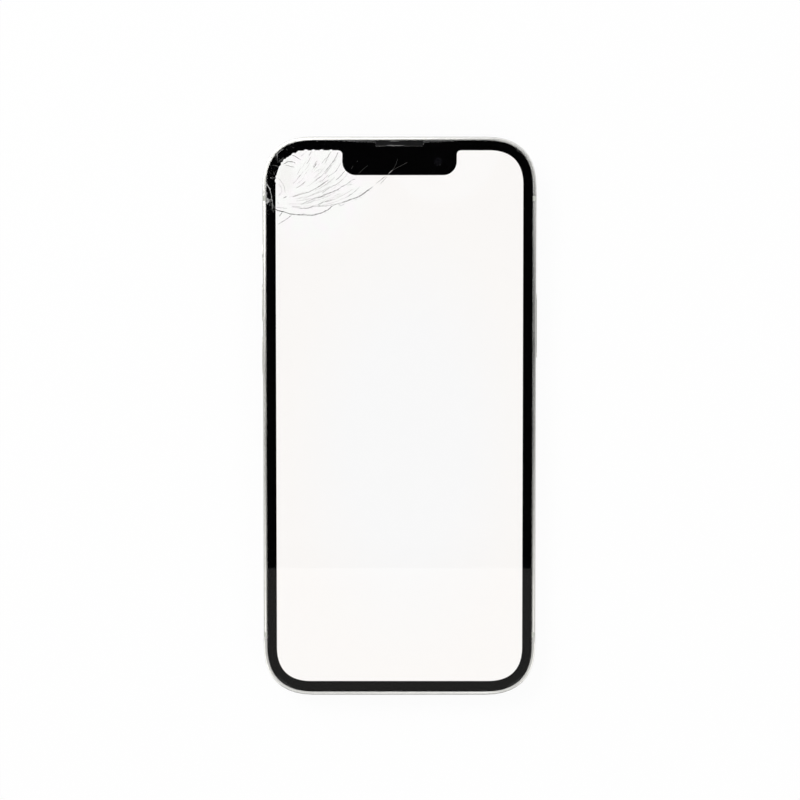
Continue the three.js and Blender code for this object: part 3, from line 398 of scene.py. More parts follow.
def amberRibbon():
    shader = newShader("amberRibbon")
    lines = add(shader, "TexWave", {
        "Vector": position(shader), "Scale": 420.0, "Distortion": 0.6}, wave_type="BANDS",
        bands_direction="X").outputs["Fac"]
    tracks = ramp(lines, 0.45, 0.6)
    wire(shader, {
        "Base Color": tones(tracks, (122, 74, 24), (168, 110, 44)),
        "Roughness": ramp(lines, 0.0, 1.0, 0.3, 0.42), "Normal": bump(tracks, 0.01)})


def contactMoulding():
    # black moulding with gilt strips on its upper face
    shader = newShader("contactMoulding")
    height = add(shader, "SeparateXYZ", {0: position(shader)}).outputs["Z"]
    gilt = ramp(height, 4.48 * mm, 4.49 * mm)
    grit = noise(position(shader), 0.12)
    wire(shader, {
        "Base Color": tones(gilt, (22, 22, 24), (222, 178, 98)), "Metallic": gilt,
        "Roughness": ramp(grit, 0.3, 0.7, 0.28, 0.42), "Normal": bump(grit, 0.003)})


for name, look in looks.items():
    finish(name, look)
satinMetal("aluminium")
satinMetal("keyMetal", main="key", other="keySecond")
satinMetal("polishedMetal", polish=0.12)
clearGlass("coverGlass", (1.0, 1.0, 1.0, 1.0), 0.03)
clearGlass("windowGlass", (0.96, 0.97, 1.0, 1.0), 0.0, 1.2)  # coated against reflections
backGlass("rearGlass", (0.22, 0.34), 1.0)
backGlass("islandGlass", (0.42, 0.52), 0.0)
for name, (first, second) in brokenLooks.items():
    brokenGlass(name, first, second)
for make in (litPanel, blackInk, lensBlack, flashDiffuser, woundCopper, circuitBoard, amberRibbon,
             contactMoulding):
    make()
print("materials made,", len(materials))


# Pieces, made in mm with these few steps
def shift(bm, verts, x, y, z):
    bmesh.ops.translate(bm, verts=verts, vec=(x * mm, y * mm, z * mm))


def vertsIn(geometry):
    return [v for v in geometry if isinstance(v, bmesh.types.BMVert)]


def outward(bm):
    bmesh.ops.recalc_face_normals(bm, faces=bm.faces)


def meshOf(bm, name):
    mesh = bpy.data.meshes.new(name)
    bm.to_mesh(mesh)
    bm.free()
    return mesh


def settle(bm, name, look, replaced=(), body="phone_body", angle=32.0, weighted=True):
    # a finished mesh: smooth where its faces meet gently, riding on its body
    mesh = meshOf(bm, name)
    for one in [look] if isinstance(look, str) else look:
        mesh.materials.append(materials[one])
    mesh.polygons.foreach_set("use_smooth", [True] * len(mesh.polygons))
    mesh.set_sharp_from_angle(angle=math.radians(angle))
    piece = linked(name, mesh)
    if weighted:
        piece.modifiers.new("even shading", "WEIGHTED_NORMAL").keep_sharp = True
    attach(piece, body)
    if replaced:
        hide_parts(*replaced)
    return piece


# The machined pieces keep their CAD form, and get eased edges and smooth curves
easing = {"merge": 0.0002, "flat": 0.5, "sharp": 50, "segments": 2}  # mm, degrees, degrees

# look, eased edge in mm, and the body where that isn't the phone's own
housing = {
    "chassis": ("aluminium", 0.04),
    "top_band": ("aluminium", 0.04),
    "bottom_band": ("aluminium", 0.05),
    "power_button": ("keyMetal", 0.10, "power_key"),
    "volume_up_button": ("keyMetal", 0.10, "volume_up_key"),
    "volume_down_button": ("keyMetal", 0.10, "volume_down_key"),
    "silent_switch": ("aluminium", 0.06, "silent_tab"),
    "card_tray": ("aluminium", 0.03, "tray"),
    "port_shell": ("steel", 0.05),
    "bottom_screw_left": ("steel", 0.03),
    "bottom_screw_right": ("steel", 0.03),
}


def machined(node, look, edge, body="phone_body"):
    bm = bmesh.new()
    bm.from_mesh(nodes[node].data)
    bmesh.ops.remove_doubles(bm, verts=bm.verts, dist=easing["merge"] * mm)
    bmesh.ops.dissolve_limit(
        bm, angle_limit=math.radians(easing["flat"]), verts=bm.verts, edges=bm.edges)
    steep = math.radians(easing["sharp"])
    sharp = [e for e in bm.edges if len(e.link_faces) == 2 and e.calc_face_angle() > steep]
    bmesh.ops.bevel(
        bm, geom=sharp, offset=edge * mm, offset_type="OFFSET", segments=easing["segments"],
        affect="EDGES", profile=0.5, material=-1, clamp_overlap=True)
    settle(bm, node + "_finished", look, [node], body)


for node, row in housing.items():
    machined(node, *row)
for end in ("upper", "lower"):
    for side in ("left", "right"):
        machined(f"antenna_insert_{end}_{side}", "paleInsert", 0.02)
print("housing finished")


# Outlines in mm. A corner is one curve that eases into the straights, and its middle is on the named radius
corner = {"span": 1.15, "steps": 20}


def cornerAt(x, y, signX, signY, radius, steps):
    # a cubic curve, anticlockwise, that leaves and arrives along the sides that meet at x, y
    middle = Vector((x, y))
    span = radius * corner["span"]
    start, end = middle - Vector((0, signY * span)), middle - Vector((signX * span, 0))
    if signX * signY < 0:
        start, end = end, start
    pull = (4 - 8 * (1 - math.sqrt(0.5)) / corner["span"]) / 3
    first, last = start.lerp(middle, pull), end.lerp(middle, pull)
    points = []
    for i in range(steps + 1):
        t = i / steps
        s = 1 - t
        points.append(s ** 3 * start + 3 * s * s * t * first + 3 * s * t * t * last + t ** 3 * end)
    return points


def roundedOutline(width, length, radius, x=0.0, y=0.0, steps=corner["steps"]):
    points = []
    for signX, signY in ((1, 1), (-1, 1), (-1, -1), (1, -1)):
        points += cornerAt(x + signX * width / 2, y + signY * length / 2, signX, signY, radius, steps)
    return points


def shrinking(width, length, radius, x=0.0, y=0.0):
    return lambda inset: roundedOutline(width - 2 * inset, length - 2 * inset, radius - inset, x, y)


def arc(x, y, radius, start, end, steps):
    # start and end in degrees
    angles = [math.radians(start + (end - start) * i / steps) for i in range(steps + 1)]
    return [Vector((x + radius * math.cos(a), y + radius * math.sin(a))) for a in angles]


def ring(x, y, radius, steps):
    return arc(x, y, radius, 0, 360 - 360 / steps, steps - 1)


def loopAt(bm, points, height):
    verts = [bm.verts.new((p.x * mm, p.y * mm, height * mm)) for p in points]
    return [bm.edges.new((a, b)) for a, b in zip(verts, verts[1:] + verts[:1])]


# Bridges one outline to the next: each level is the outline's inset and its height
def layered(bm, outlineAt, levels):
    loops = [loopAt(bm, outlineAt(inset), height) for inset, height in levels]
    for low, high in zip(loops, loops[1:]):
        bmesh.ops.bridge_loops(bm, edges=low + high)
    return loops[0], loops[-1]


def capped(bm, *loops):
    edges = [edge for loop in loops for edge in loop]
    bmesh.ops.triangle_fill(bm, edges=edges, use_beauty=True, use_dissolve=False)


def eased(height, edge, facing, steps=4):
    # a quarter round at the end of a wall, as levels; facing is 1 for a top edge and -1 for a bottom one
    angles = [math.pi / 2 * i / steps for i in range(steps + 1)]
    return [(edge * (1 - math.cos(a)), height + facing * edge * (math.sin(a) - 1)) for a in angles]


# Cover glass: one flat pane with a notch for the earpiece and four chips out of its edge
glass = {
    "width": 62.4, "length": 129.7, "radius": 9.3,
    "low": 8.56, "high": 9.24,
    "foot": 0.05, "edge": 0.14,
    "slot": (11.0, 1.3, 0.5),  # length, depth, corner
    # a chip is its place from the left and top edges, its reach and its depth
    "chips": [
        (-0.1, 14.05, 0.75, 0.22), (-0.05, 10.35, 0.40, 0.14), (2.05, 2.05, 0.35, 0.12),
        (0.0, 12.3, 0.22, 0.08)],
    "ripple": 0.012,  # share of a chip's own radius
    "chipMargin": 0.3, "chipSlope": (0.3, 0.9995),
}


def onGlass(fromLeft, fromTop):
    # a place measured from the glass's left and top edges
    return Vector((fromLeft - glass["width"] / 2, glass["length"] / 2 - fromTop))


def offGlass(point):
    # and back again
    zero = onGlass(0, 0)
    return [point.x - zero.x, zero.y - point.y]


def glassOutline(inset):
    points = shrinking(glass["width"], glass["length"], glass["radius"])(inset)
    slotLength, slotDepth, curve = glass["slot"]
    right, top = slotLength / 2 + inset, (glass["length"] - 2 * inset) / 2
    floor = glass["length"] / 2 - slotDepth - inset
    notch = [Vector((right, top))]
    notch += arc(right - curve, floor + curve, curve, 0, -90, 6)
    notch += arc(curve - right, floor + curve, curve, -90, -180, 6)
    notch += [Vector((-right, top))]
    firstCorner = corner["steps"] + 1
    return points[:firstCorner] + notch + points[firstCorner:]


def chipCutter():
    # shallow bites with a rippled face, as struck glass has
    bm = bmesh.new()
    for fromLeft, fromTop, reach, depth in glass["chips"]:
        ball = (reach * reach + depth * depth) / (2 * depth)
        made = bmesh.ops.create_icosphere(bm, subdivisions=5, radius=ball * mm)["verts"]
        at = onGlass(fromLeft, fromTop)
        for vert in made:
            wave = math.sin(vert.co.x / mm * 17 + 3 * math.sin(vert.co.y / mm * 9))
            vert.co = vert.co * (1 + glass["ripple"] * wave)
        shift(bm, made, at.x, at.y, glass["high"] + ball - depth)
    return bm


def carved(bm, cutterBm):
    # the first shape with the second taken out of it
    held = linked("held", meshOf(bm, "held"))
    cutter = linked("cutter", meshOf(cutterBm, "cutter"))
    cut = held.modifiers.new("cut", "BOOLEAN")
    cut.operation = "DIFFERENCE"
    cut.solver = "EXACT"
    cut.object = cutter
    bpy.context.view_layer.update()
    result = bmesh.new()
    depsgraph = bpy.context.evaluated_depsgraph_get()
    result.from_mesh(bpy.data.meshes.new_from_object(held.evaluated_get(depsgraph)))
    for made in (held, cutter):
        bpy.data.objects.remove(made)
    return result


def buildCoverGlass():
    bm = bmesh.new()
    low, high, foot = glass["low"], glass["high"], glass["foot"]
    levels = [(foot, low), (0.0, low + foot)] + eased(high, glass["edge"], 1)
    for loop in layered(bm, glassOutline, levels):
        capped(bm, loop)
    outward(bm)
    bm = carved(bm, chipCutter())
    shallow, steep = glass["chipSlope"]
    for face in bm.faces:
        middle = face.calc_center_median()
        inChip = any(
            (middle.xy / mm - onGlass(left, top)).length < reach + glass["chipMargin"]
            for left, top, reach, _ in glass["chips"])
        if inChip and shallow < face.normal.z <= steep and middle.z > (low + 0.1) * mm:
            face.material_index = 1
    # the chip faces take the broken glass that is lightened with painted light
    clearAndBroken = ["coverGlass", "paleCrack"]
    pane = settle(bm, "cover_glass_pane", clearAndBroken, ["cover_glass"], angle=28.0)
    pane.visible_shadow = False  # lamps reach what is behind the pane


# Screen outline: round corners and a notch in the top edge
screen = {
    "half": 29.0, "top": 62.6, "bottom": -62.5, "radius": 7.0, "steps": 40,
    "notchHalf": 13.4, "notchDepth": 5.8, "shoulder": 1.0, "corner": 3.2,
}


def screenOutline():
    half, top, bottom = screen["half"], screen["top"], screen["bottom"]
    notchX, notchY = screen["notchHalf"], top - screen["notchDepth"]
    shoulder, curve = screen["shoulder"], screen["corner"]
    shape = screen["radius"], screen["steps"]
    points = cornerAt(half, top, 1, 1, *shape)
    points += arc(notchX + shoulder, top - shoulder, shoulder, 90, 180, 10)
    points += arc(notchX - curve, notchY + curve, curve, 0, -90, 20)
    points += arc(curve - notchX, notchY + curve, curve, -90, -180, 20)
    points += arc(-notchX - shoulder, top - shoulder, shoulder, 0, 90, 10)
    points += cornerAt(-half, top, -1, 1, *shape)
    points += cornerAt(-half, bottom, -1, -1, *shape)
    points += cornerAt(half, bottom, 1, -1, *shape)
    return points


# The ink came away in small steps along the corner, and in nicks beside the cracks.
# Places are from the glass's left and top edges, and a span is its two ends
torn = {
    "step": 0.22, "longest": 40,
    "finer": ((2.2, 17.2), (1.2, 22.8)),
    "uneven": ((0.0, 20.0), (1.5, 22.0)), "unevenPush": 0.05,
    "ragged": ((2.6, 8.2), (1.8, 5.8)), "raggedPush": (-0.22, 0.16),
    "blow": (-20.0, 52.0),  # where it is pushed away from, in x and y
    "nick": 0.22, "nickReach": 0.3,
    "nicks": [(2.35, 8.4), (2.3, 9.3), (2.3, 12.6), (2.3, 16.0), (2.25, 18.6), (2.3, 20.6), (7.7, 2.4),
              (9.4, 2.3), (11.0, 2.35), (13.0, 2.3), (15.1, 2.35), (24.6, 8.1)],
}


def within(point, area):
    return all(low < at < high for at, (low, high) in zip(offGlass(point), torn[area]))


def brokenEdge(points):
    random.seed(7)
    finer = []
    for a, b in zip(points, points[1:] + points[:1]):
        length = (b - a).length
        count = max(1, int(length / torn["step"])) if within(a, "finer") and length < torn["longest"] else 1
        finer += [a.lerp(b, i / count) for i in range(count)]
    moved = []
    for point in finer:
        push = 0.0
        if within(point, "uneven"):
            push = random.uniform(-torn["unevenPush"], torn["unevenPush"])
        if within(point, "ragged"):
            push = random.uniform(*torn["raggedPush"])
        if any((point - onGlass(*nick)).length < torn["nickReach"] for nick in torn["nicks"]):
            push = torn["nick"]
        moved.append(point + (point - Vector(torn["blow"])).normalized() * push)
    return moved


# The ink lies just inside the pane's lower face, so no second mirror shows between them
ink = {
    "outline": (62.32, 129.62, 9.26),  # width, length, corner
    "earpiece": (10.9, 0.9, 0.35, 0.0, 64.1, 4),  # the same, then x, y and a corner's steps
    "low": 8.50, "thick": 0.1,
}
frontWindow = {"at": (9.0, 60.0), "ring": 1.5, "lens": 0.95, "gap": 0.005, "steps": 48}


def buildBorder():
    bm = bmesh.new()
    outlines = [
        roundedOutline(*ink["outline"]), brokenEdge(screenOutline()), roundedOutline(*ink["earpiece"]),
        ring(*frontWindow["at"], frontWindow["ring"], frontWindow["steps"])]
    capped(bm, *[loopAt(bm, outline, ink["low"]) for outline in outlines])
    bmesh.ops.solidify(bm, geom=bm.faces[:], thickness=ink["thick"] * mm)
    shift(bm, bm.verts, 0, 0, ink["low"] - min(v.co.z for v in bm.verts) / mm)
    outward(bm)
    settle(bm, "ink_border", "blackInk", ["border_mask"], angle=30.0, weighted=False)


def buildFrontWindow():
    # a dark lens and its ring fill the hole in the ink over the front camera
    rim, lens, gap = frontWindow["ring"], frontWindow["lens"], frontWindow["gap"]
    for name, look, radii in (("front_lens", "sensorGlass", [lens - gap]),
                              ("front_lens_ring", "blackInk", [rim - gap, lens + gap])):
        bm = bmesh.new()
        circles = [ring(*frontWindow["at"], radius, frontWindow["steps"]) for radius in radii]
        capped(bm, *[loopAt(bm, circle, ink["low"]) for circle in circles])
        grown = bmesh.ops.extrude_face_region(bm, geom=bm.faces[:])["geom"]
        shift(bm, vertsIn(grown), 0, 0, ink["thick"])
        outward(bm)
        settle(bm, name, look, angle=30.0, weighted=False)


buildCoverGlass()
buildBorder()
buildFrontWindow()
print("cover glass and border made")


# A crack is a width and a route, which is a list of [from the glass's left edge, from its top edge] in mm
mainCracks = [
    (0.2, [[2.2, 16.1], [2.9, 16.4], [3.5, 16.5], [4.9, 16.9], [6, 17.2], [7.4, 17.3], [9.1, 17.4],
        [10.8, 17.4], [12.1, 17.1], [13.3, 16.7], [14.5, 16.1], [15.6, 15.2], [16.8, 14.7]]),
    (0.18, [[16.8, 14.7], [18, 14.4], [19.1, 14], [20.3, 13.6], [21.7, 13.1], [22.9, 12.3], [24.1, 11.4],
        [25, 10.8]]),
    (0.11, [[25.7, 10], [26.5, 9.5], [27.3, 8.8], [27.9, 8.4]]),
    (0.05, [[26.7, 10.1], [27.5, 9.3], [28.2, 8.5]]),
    (0.045, [[2.4, 15.5], [3.7, 15.7], [4.8, 15.8]]),
    (0.11, [[6.1, 15.5], [7.4, 15.7], [8.6, 15.8], [10, 15.7], [11.2, 15.3], [13.1, 15.3], [14.5, 15.2],
        [15.6, 14.9], [16.7, 14.7]]),
    (0.115, [[8.5, 14.6], [9.8, 14.2], [11.2, 13.5], [12.6, 13.2], [13.5, 12.7], [14.9, 12.2], [16.6, 11.5],
        [17.7, 10.8], [19.1, 10], [20.1, 9.2], [20.8, 9.1]]),
    (0.07, [[8.1, 14.9], [10.2, 14.5], [11.6, 13.7]]),
    (0.08, [[8.4, 12.5], [9.8, 12.1], [11.2, 11.4], [12.3, 10.7], [13.3, 10], [14.5, 9.2]]),
    (0.1, [[13.6, 7.3], [14.5, 6.4], [15.5, 5.1], [16.2, 4.1], [16.9, 2.6]]),
    (0.045, [[13, 5.4], [13.6, 4.6], [14.3, 3.9], [14.9, 3.1], [15.2, 2.5]]),
    (0.09, [[14.5, 8.6], [15.4, 7.8], [16.2, 7.2], [16.8, 6.4], [17.5, 5.2]]),
    (0.095, [[16.3, 9.2], [17, 8.7], [17.7, 7.9], [18.4, 7.1]]),
    (0.08, [[18.3, 13.5], [19.8, 12.6], [20.9, 11.7], [21.8, 10.9]]),
    (0.055, [[18.2, 8.6], [19.2, 7.7]]),
    (0.04, [[19, 10.4], [20.1, 10.2]]),
    (0.11, [[2.8, 19.6], [3.9, 18.8], [5.1, 18.1], [6, 17.3]]),
    (0.16, [[3, 17.7], [3.8, 16.8]]),
    (0.14, [[4.0, 5.55], [4.6, 5.2], [5.3, 4.92], [6.1, 5.0], [6.9, 5.25]]),
    (0.10, [[4.5, 5.76], [5.3, 5.95], [6.5, 6.25]]),
    (0.20, [[2.1, 16.0], [3.1, 16.45], [4.2, 16.65]]),
    (0.04, [[2.8, 8.7], [3.6, 9.7], [4, 10.3], [4.3, 11.2], [4.4, 12.2]]),
    (0.2, [[4, 13.5], [4.3, 13.3], [4.7, 13]]),
    (0.03, [[2.9, 10.2], [3.5, 11], [3.6, 11.9], [2.9, 12.9]]),
    (0.04, [[2.4, 14.2], [3, 14.8]]),
    (0.04, [[9.9, 3.6], [10.7, 2.6]]),
    (0.1, [[8.2, 3.7], [8.9, 3.1]]),
    (0.12, [[11.1, 6.4], [11.5, 5.8], [11.8, 5.2]]),
    (0.12, [[6.1, 3.4], [7.1, 3.9], [8, 4.4]]),
    (0.05, [[11.3, 7.4], [12.6, 6.7]]),
    (0.06, [[11.4, 9.5], [12.3, 8.8], [13.3, 8]]),
    (0.03, [[8.6, 13.6], [9.8, 13.1], [11.2, 12.4], [12.7, 11.7]]),
    (0.03, [[13.1, 12.2], [14.5, 11.2], [16.1, 10.3]]),
    (0.11, [[12.1, 15], [13.1, 14.5], [14.5, 14], [15.4, 13.9]]),
    (0.06, [[16.8, 14.8], [17.5, 15.2], [18.4, 14.7]]),
    (0.04, [[21.5, 12.9], [22.4, 13.4]]),
]

# The same breaks where they cross the black border and the notch, and painted highlights: pale strips along
# the earpiece slot's lower edge and on the glass's top edge
paintedHighlightsAndBorderCracks = {
    "painted_highlights_and_border_cracks": ("paleCrack", [
        (0.20, [[0.2, 10.4], [0.47, 10.7], [0.77, 11.2], [1.0, 11.9], [1.15, 12.5], [1.24, 13.2],
            [1.3, 13.9]]),
        (0.10, [[1.42, 13.7], [1.5, 14.8], [1.48, 15.9]]),
        (0.10, [[2.62, 2.7], [2.6, 3.5], [2.62, 4.2]]),
        (0.10, [[0.9, 8.6], [1.1, 8.7], [1.4, 8.72]]),
        (0.11, [[28.2, 8.3], [28.9, 7.5], [29.6, 6.9]]),
        # painted highlights along the earpiece slot's lower edge and on the glass's top edge
        (0.09, [[28.0, 1.2], [29.4, 1.12], [30.6, 1.2], [32.3, 1.18]]),
        (0.08, [[29.0, 0.14], [30.0, 0.1], [31.2, 0.14]]),
    ]),
    "dim_painted_highlights_and_border_cracks": ("dimCrack", [
        (0.09, [[1.1, 14.7], [1.4, 15.8], [1.8, 16.8]]),
        (0.08, [[1.9, 15.2], [2.1, 16.1]]),
        (0.12, [[2.62, 4.2], [2.64, 4.7], [2.66, 5.2]]),
        (0.14, [[2.16, 2.9], [2.12, 3.9]]),
        (0.14, [[2.9, 5.1], [3.33, 4.6], [4.2, 4.0]]),
        (0.12, [[1.45, 5.85], [2.1, 5.85], [2.74, 6.05]]),
        (0.06, [[0.95, 5.4], [1.1, 6.0]]),
        (0.12, [[1.3, 8.7], [1.7, 8.75], [2.3, 8.8]]),
        (0.10, [[1.69, 7.3], [1.95, 8.0]]),
        (0.05, [[0.5, 7.1], [1.2, 7.9]]),
        (0.10, [[4.7, 1.1], [5.1, 0.85]]),
        (0.10, [[4.8, 1.9], [4.9, 2.3]]),
        (0.08, [[6.0, 0.7], [6.5, 0.65]]),
        (0.05, [[3.6, 1.6], [3.9, 2.2]]),
        (0.026, [[29.6, 6.9], [30.1, 6.0], [30.5, 5.2], [30.8, 4.3]]),
        (0.026, [[29.6, 6.9], [31.3, 6.0], [33.0, 5.1]]),
        (0.05, [[19.9, 6.6], [20.4, 5.9]]),
        (0.036, [[21.7, 7.7], [22.8, 6.6], [23.8, 5.8]]),
        (0.04, [[21.2, 5.0], [21.5, 4.8]]),
        # painted highlights, dimmer, along the earpiece slot's lower edge to either side
        (0.07, [[25.6, 1.3], [27.0, 1.25], [28.4, 1.2]]),
        (0.05, [[32.0, 1.2], [34.0, 1.25], [36.3, 1.25]]),
    ]),
}

crack = {
    "high": 9.25, "low": 8.58,
    "stride": 0.30, "borderStride": 0.25,  # mm between the sections of a crack
    "shake": 0.055,
    "lean": 0.05,
    "deep": (0.25, 0.55),  # share of the way down
    "thin": 0.88,  # share of the listed width
    "uneven": (0.4, 1.5),
    "ends": 0.18,  # share of its width where it runs out
}

# Short side breaks along the long cracks
spurs = {
    "crackWidth": 0.09, "crackPoints": 4,  # a crack with more than these has spurs
    "stride": 0.9, "chance": 0.45,
    "turn": (14, 38),  # degrees off the crack
    "length": (0.35, 1.1),
    "width": (0.25, 0.45),  # share of the crack's own
}

# Fine lines fan out between neighbours of these guides, in short stretches
fan = {
    "lines": 84,
    "width": (0.014, 0.034),
    "stride": 0.3, "every": 3,
    "start": (0.0, 0.8), "stretch": (0.10, 0.32),  # shares of the way along
    "drift": 0.15,
    "deep": (0.1, 0.3),
    "guides": [
        [[5.0, 15.4], [10.0, 15.6], [14.5, 14.9], [18.5, 13.4], [22.5, 11.2]],
        [[5.5, 12.9], [9.0, 11.2], [11.8, 9.2], [14.2, 6.8], [16.4, 3.0]],
        [[5.9, 9.8], [7.2, 7.8], [8.1, 5.8], [8.9, 4.2], [9.6, 2.8]]],
}


def alongCurve(route, stride):
    # points of a smooth curve through the route's points
    points = [onGlass(*p) for p in route]
    ends = [2 * points[0] - points[1]] + points + [2 * points[-1] - points[-2]]
    made = []
    for a, b, c, d in zip(ends, ends[1:], ends[2:], ends[3:]):
        count = max(1, round((c - b).length / stride))
        for i in range(count):
            t = i / count
            made.append(0.5 * (2 * b + (c - a) * t + (2 * a - 5 * b + 4 * c - d) * t * t
                               + (3 * b - a - 3 * c + d) * t ** 3))
    return made + [points[-1]]


# A crack is a wedge, widest at the face of the glass, that leans as it goes down and runs out at both ends.
# Its three-cornered end is extruded from point to point of the route
def addCrack(bm, route, width, stride=crack["stride"], deep=crack["deep"]):
    shake, lean, high = crack["shake"], crack["lean"], crack["high"]
    points = alongCurve(route, stride)
    points = [p + Vector((random.uniform(-shake, shake), random.uniform(-shake, shake))) for p in points]
    leaning = Vector((random.uniform(-lean, lean), random.uniform(-lean, lean)))
    depth = random.uniform(*deep) * (high - crack["low"])
    last = len(points) - 1
    places, edges = [], []
    for i, point in enumerate(points):
        ahead = (points[min(i + 1, last)] - points[max(i - 1, 0)]).normalized()
        side = Vector((-ahead.y, ahead.x))
        inFromEnd = min(1.0, (min(i, last - i) + 0.5) / max(2.0, last * 0.3))
        ends = crack["ends"]
        share = ends + (1 - ends) * math.sin(math.pi * inFromEnd / 2)
        side = side * crack["thin"] * width / 2 * share * random.uniform(*crack["uneven"])
        root = point + leaning
        earlier = places
        places = [
            Vector((point.x + side.x, point.y + side.y, high)) * mm,
            Vector((point.x - side.x, point.y - side.y, high)) * mm,
            Vector((root.x, root.y, high - depth * (0.6 + 0.4 * share))) * mm]
        if not edges:
            edges = bm.faces.new([bm.verts.new(place) for place in places[::-1]]).edges[:]
            continue
        grown = bmesh.ops.extrude_edge_only(bm, edges=edges)["geom"]
        edges = [e for e in grown if isinstance(e, bmesh.types.BMEdge)]
        for vert in {v for e in edges for v in e.verts}:
            vert.co = min(zip(earlier, places), key=lambda pair: (pair[0] - vert.co).length)[1]
    bmesh.ops.edgeloop_fill(bm, edges=edges)


def addSpurs(bm, route, width):
    points = alongCurve(route, spurs["stride"])
    for a, b in zip(points, points[1:]):
        if random.random() < spurs["chance"]:
            ahead = (b - a).normalized()
            turn = random.choice((-1, 1)) * random.uniform(*spurs["turn"])
            tip = a + Matrix.Rotation(math.radians(turn), 2) @ ahead * random.uniform(*spurs["length"])
            addCrack(bm, [offGlass(a), offGlass(tip)], width * random.uniform(*spurs["width"]))


def settleCracks(bm, name, look):
    outward(bm)
    settle(bm, name, look, angle=30.0, weighted=False)


def buildMainCracks():
    random.seed(3)
    bm = bmesh.new()
    for width, route in mainCracks:
        addCrack(bm, route, width)
        if width > spurs["crackWidth"] and len(route) > spurs["crackPoints"]:
            addSpurs(bm, route, width)
    # the screen's cracks are darkened with painted shade
    settleCracks(bm, "screen_cracks", "darkCrack")


def between(low, high, share):
    return [[a[0] + (b[0] - a[0]) * share, a[1] + (b[1] - a[1]) * share] for a, b in zip(low, high)]


def buildFan():
    random.seed(11)
    bm = bmesh.new()
    guides, drift = fan["guides"], fan["drift"]
    for i in range(fan["lines"]):
        place = (i + random.random()) / fan["lines"] * (len(guides) - 1)
        first = min(int(place), len(guides) - 2)
        whole = alongCurve(between(guides[first], guides[first + 1], place - first), fan["stride"])
        start = random.uniform(*fan["start"])
        stop = min(1.0, start + random.uniform(*fan["stretch"]))
        aside = random.uniform(-drift, drift)
        part = whole[int(start * len(whole)):int(stop * len(whole)):fan["every"]]
        if len(part) > 2:
            route = [[v + aside for v in offGlass(p)] for p in part]
            addCrack(bm, route, random.uniform(*fan["width"]), fan["stride"], fan["deep"])
    # the fan's fine lines are darkened with painted shade
    settleCracks(bm, "fan_cracks", "fineCrack")


def buildPaintedHighlightsAndBorderCracks(name, look, cracks):
    random.seed(5)
    bm = bmesh.new()
    for width, route in cracks:
        addCrack(bm, route, width, crack["borderStride"])
    settleCracks(bm, name, look)


# Crushed glass where the corner struck: small loose-edged splinters held in the pane, pale with painted
# light
crushed = [
    # from left, from top, reach across, reach along, how many, size
    (0.40, 14.05, 0.42, 0.36, 90, 0.13),
    (1.00, 14.00, 0.40, 0.36, 90, 0.13),
    (0.75, 14.90, 0.75, 0.35, 26, 0.10),
    (1.60, 16.00, 0.55, 0.90, 34, 0.08),
    (0.60, 16.90, 0.50, 0.80, 8, 0.07),
    (2.35, 3.60, 0.45, 0.90, 22, 0.09),
    (3.40, 4.60, 0.60, 0.45, 20, 0.09),
    (1.60, 7.60, 0.70, 1.60, 16, 0.07),
    (5.20, 1.40, 1.60, 0.60, 14, 0.06),
    (2.10, 11.50, 0.25, 2.00, 10, 0.06),
]

# Shares of the listed size, lengths in mm, and angles in radians
splinter = {"size": (0.3, 1.0), "length": (0.08, 0.3), "narrow": (0.35, 1.0), "tip": 0.5, "deepest": 0.3}


def buildSplinters():
    random.seed(17)
    bm = bmesh.new()
    for left, top, across, along, count, size in crushed:
        for _ in range(count):
            angle, far = random.uniform(0, 2 * math.pi), math.sqrt(random.random())
            at = onGlass(left + across * far * math.cos(angle), top + along * far * math.sin(angle))
            made = bmesh.ops.create_cone(
                bm, cap_ends=True, segments=3, radius1=size * random.uniform(*splinter["size"]) * mm,
                radius2=0.0, depth=random.uniform(*splinter["length"]) * mm)["verts"]
            bmesh.ops.scale(bm, verts=made, vec=(1, random.uniform(*splinter["narrow"]), 1))
            spun = Matrix.Rotation(random.uniform(0, 6.28), 3, "Z")
            tipped = Matrix.Rotation(random.uniform(-splinter["tip"], splinter["tip"]), 3, "X")
            bmesh.ops.rotate(bm, verts=made, cent=(0, 0, 0), matrix=spun @ tipped)
            high = max(v.co.z for v in made) / mm
            deep = random.uniform(0.0, splinter["deepest"])
            shift(bm, made, at.x, at.y, crack["high"] - deep - high)
    settle(bm, "crushed_glass", "paleCrack", angle=10.0, weighted=False)


buildMainCracks()
buildFan()
for name, (look, cracks) in paintedHighlightsAndBorderCracks.items():
    buildPaintedHighlightsAndBorderCracks(name, look, cracks)
buildSplinters()
print("cracks made")


# Rear glass: one moulded pane with a raised camera island
rear = {
    "pane": (62.4, 129.7, 9.3),  # width, length, corner
    "island": (26.4, 28.0, 7.0, 15.9, 48.75),  # the same, then x and y
    "face": 1.6, "seat": 2.38, "edge": 0.22, "seatEdge": 0.1,
    "rise": 0.7, "islandEdge": 0.35, "foot": 0.25,
    "lenses": [(21.6, 55.2), (21.6, 42.3)],
}

# x, y, radius and steps
rearHoles = [(*at, 5.4, 48) for at in rear["lenses"]] + [(*flashAt, 2.8, 40), (8.9, 42.25, 0.45, 20)]


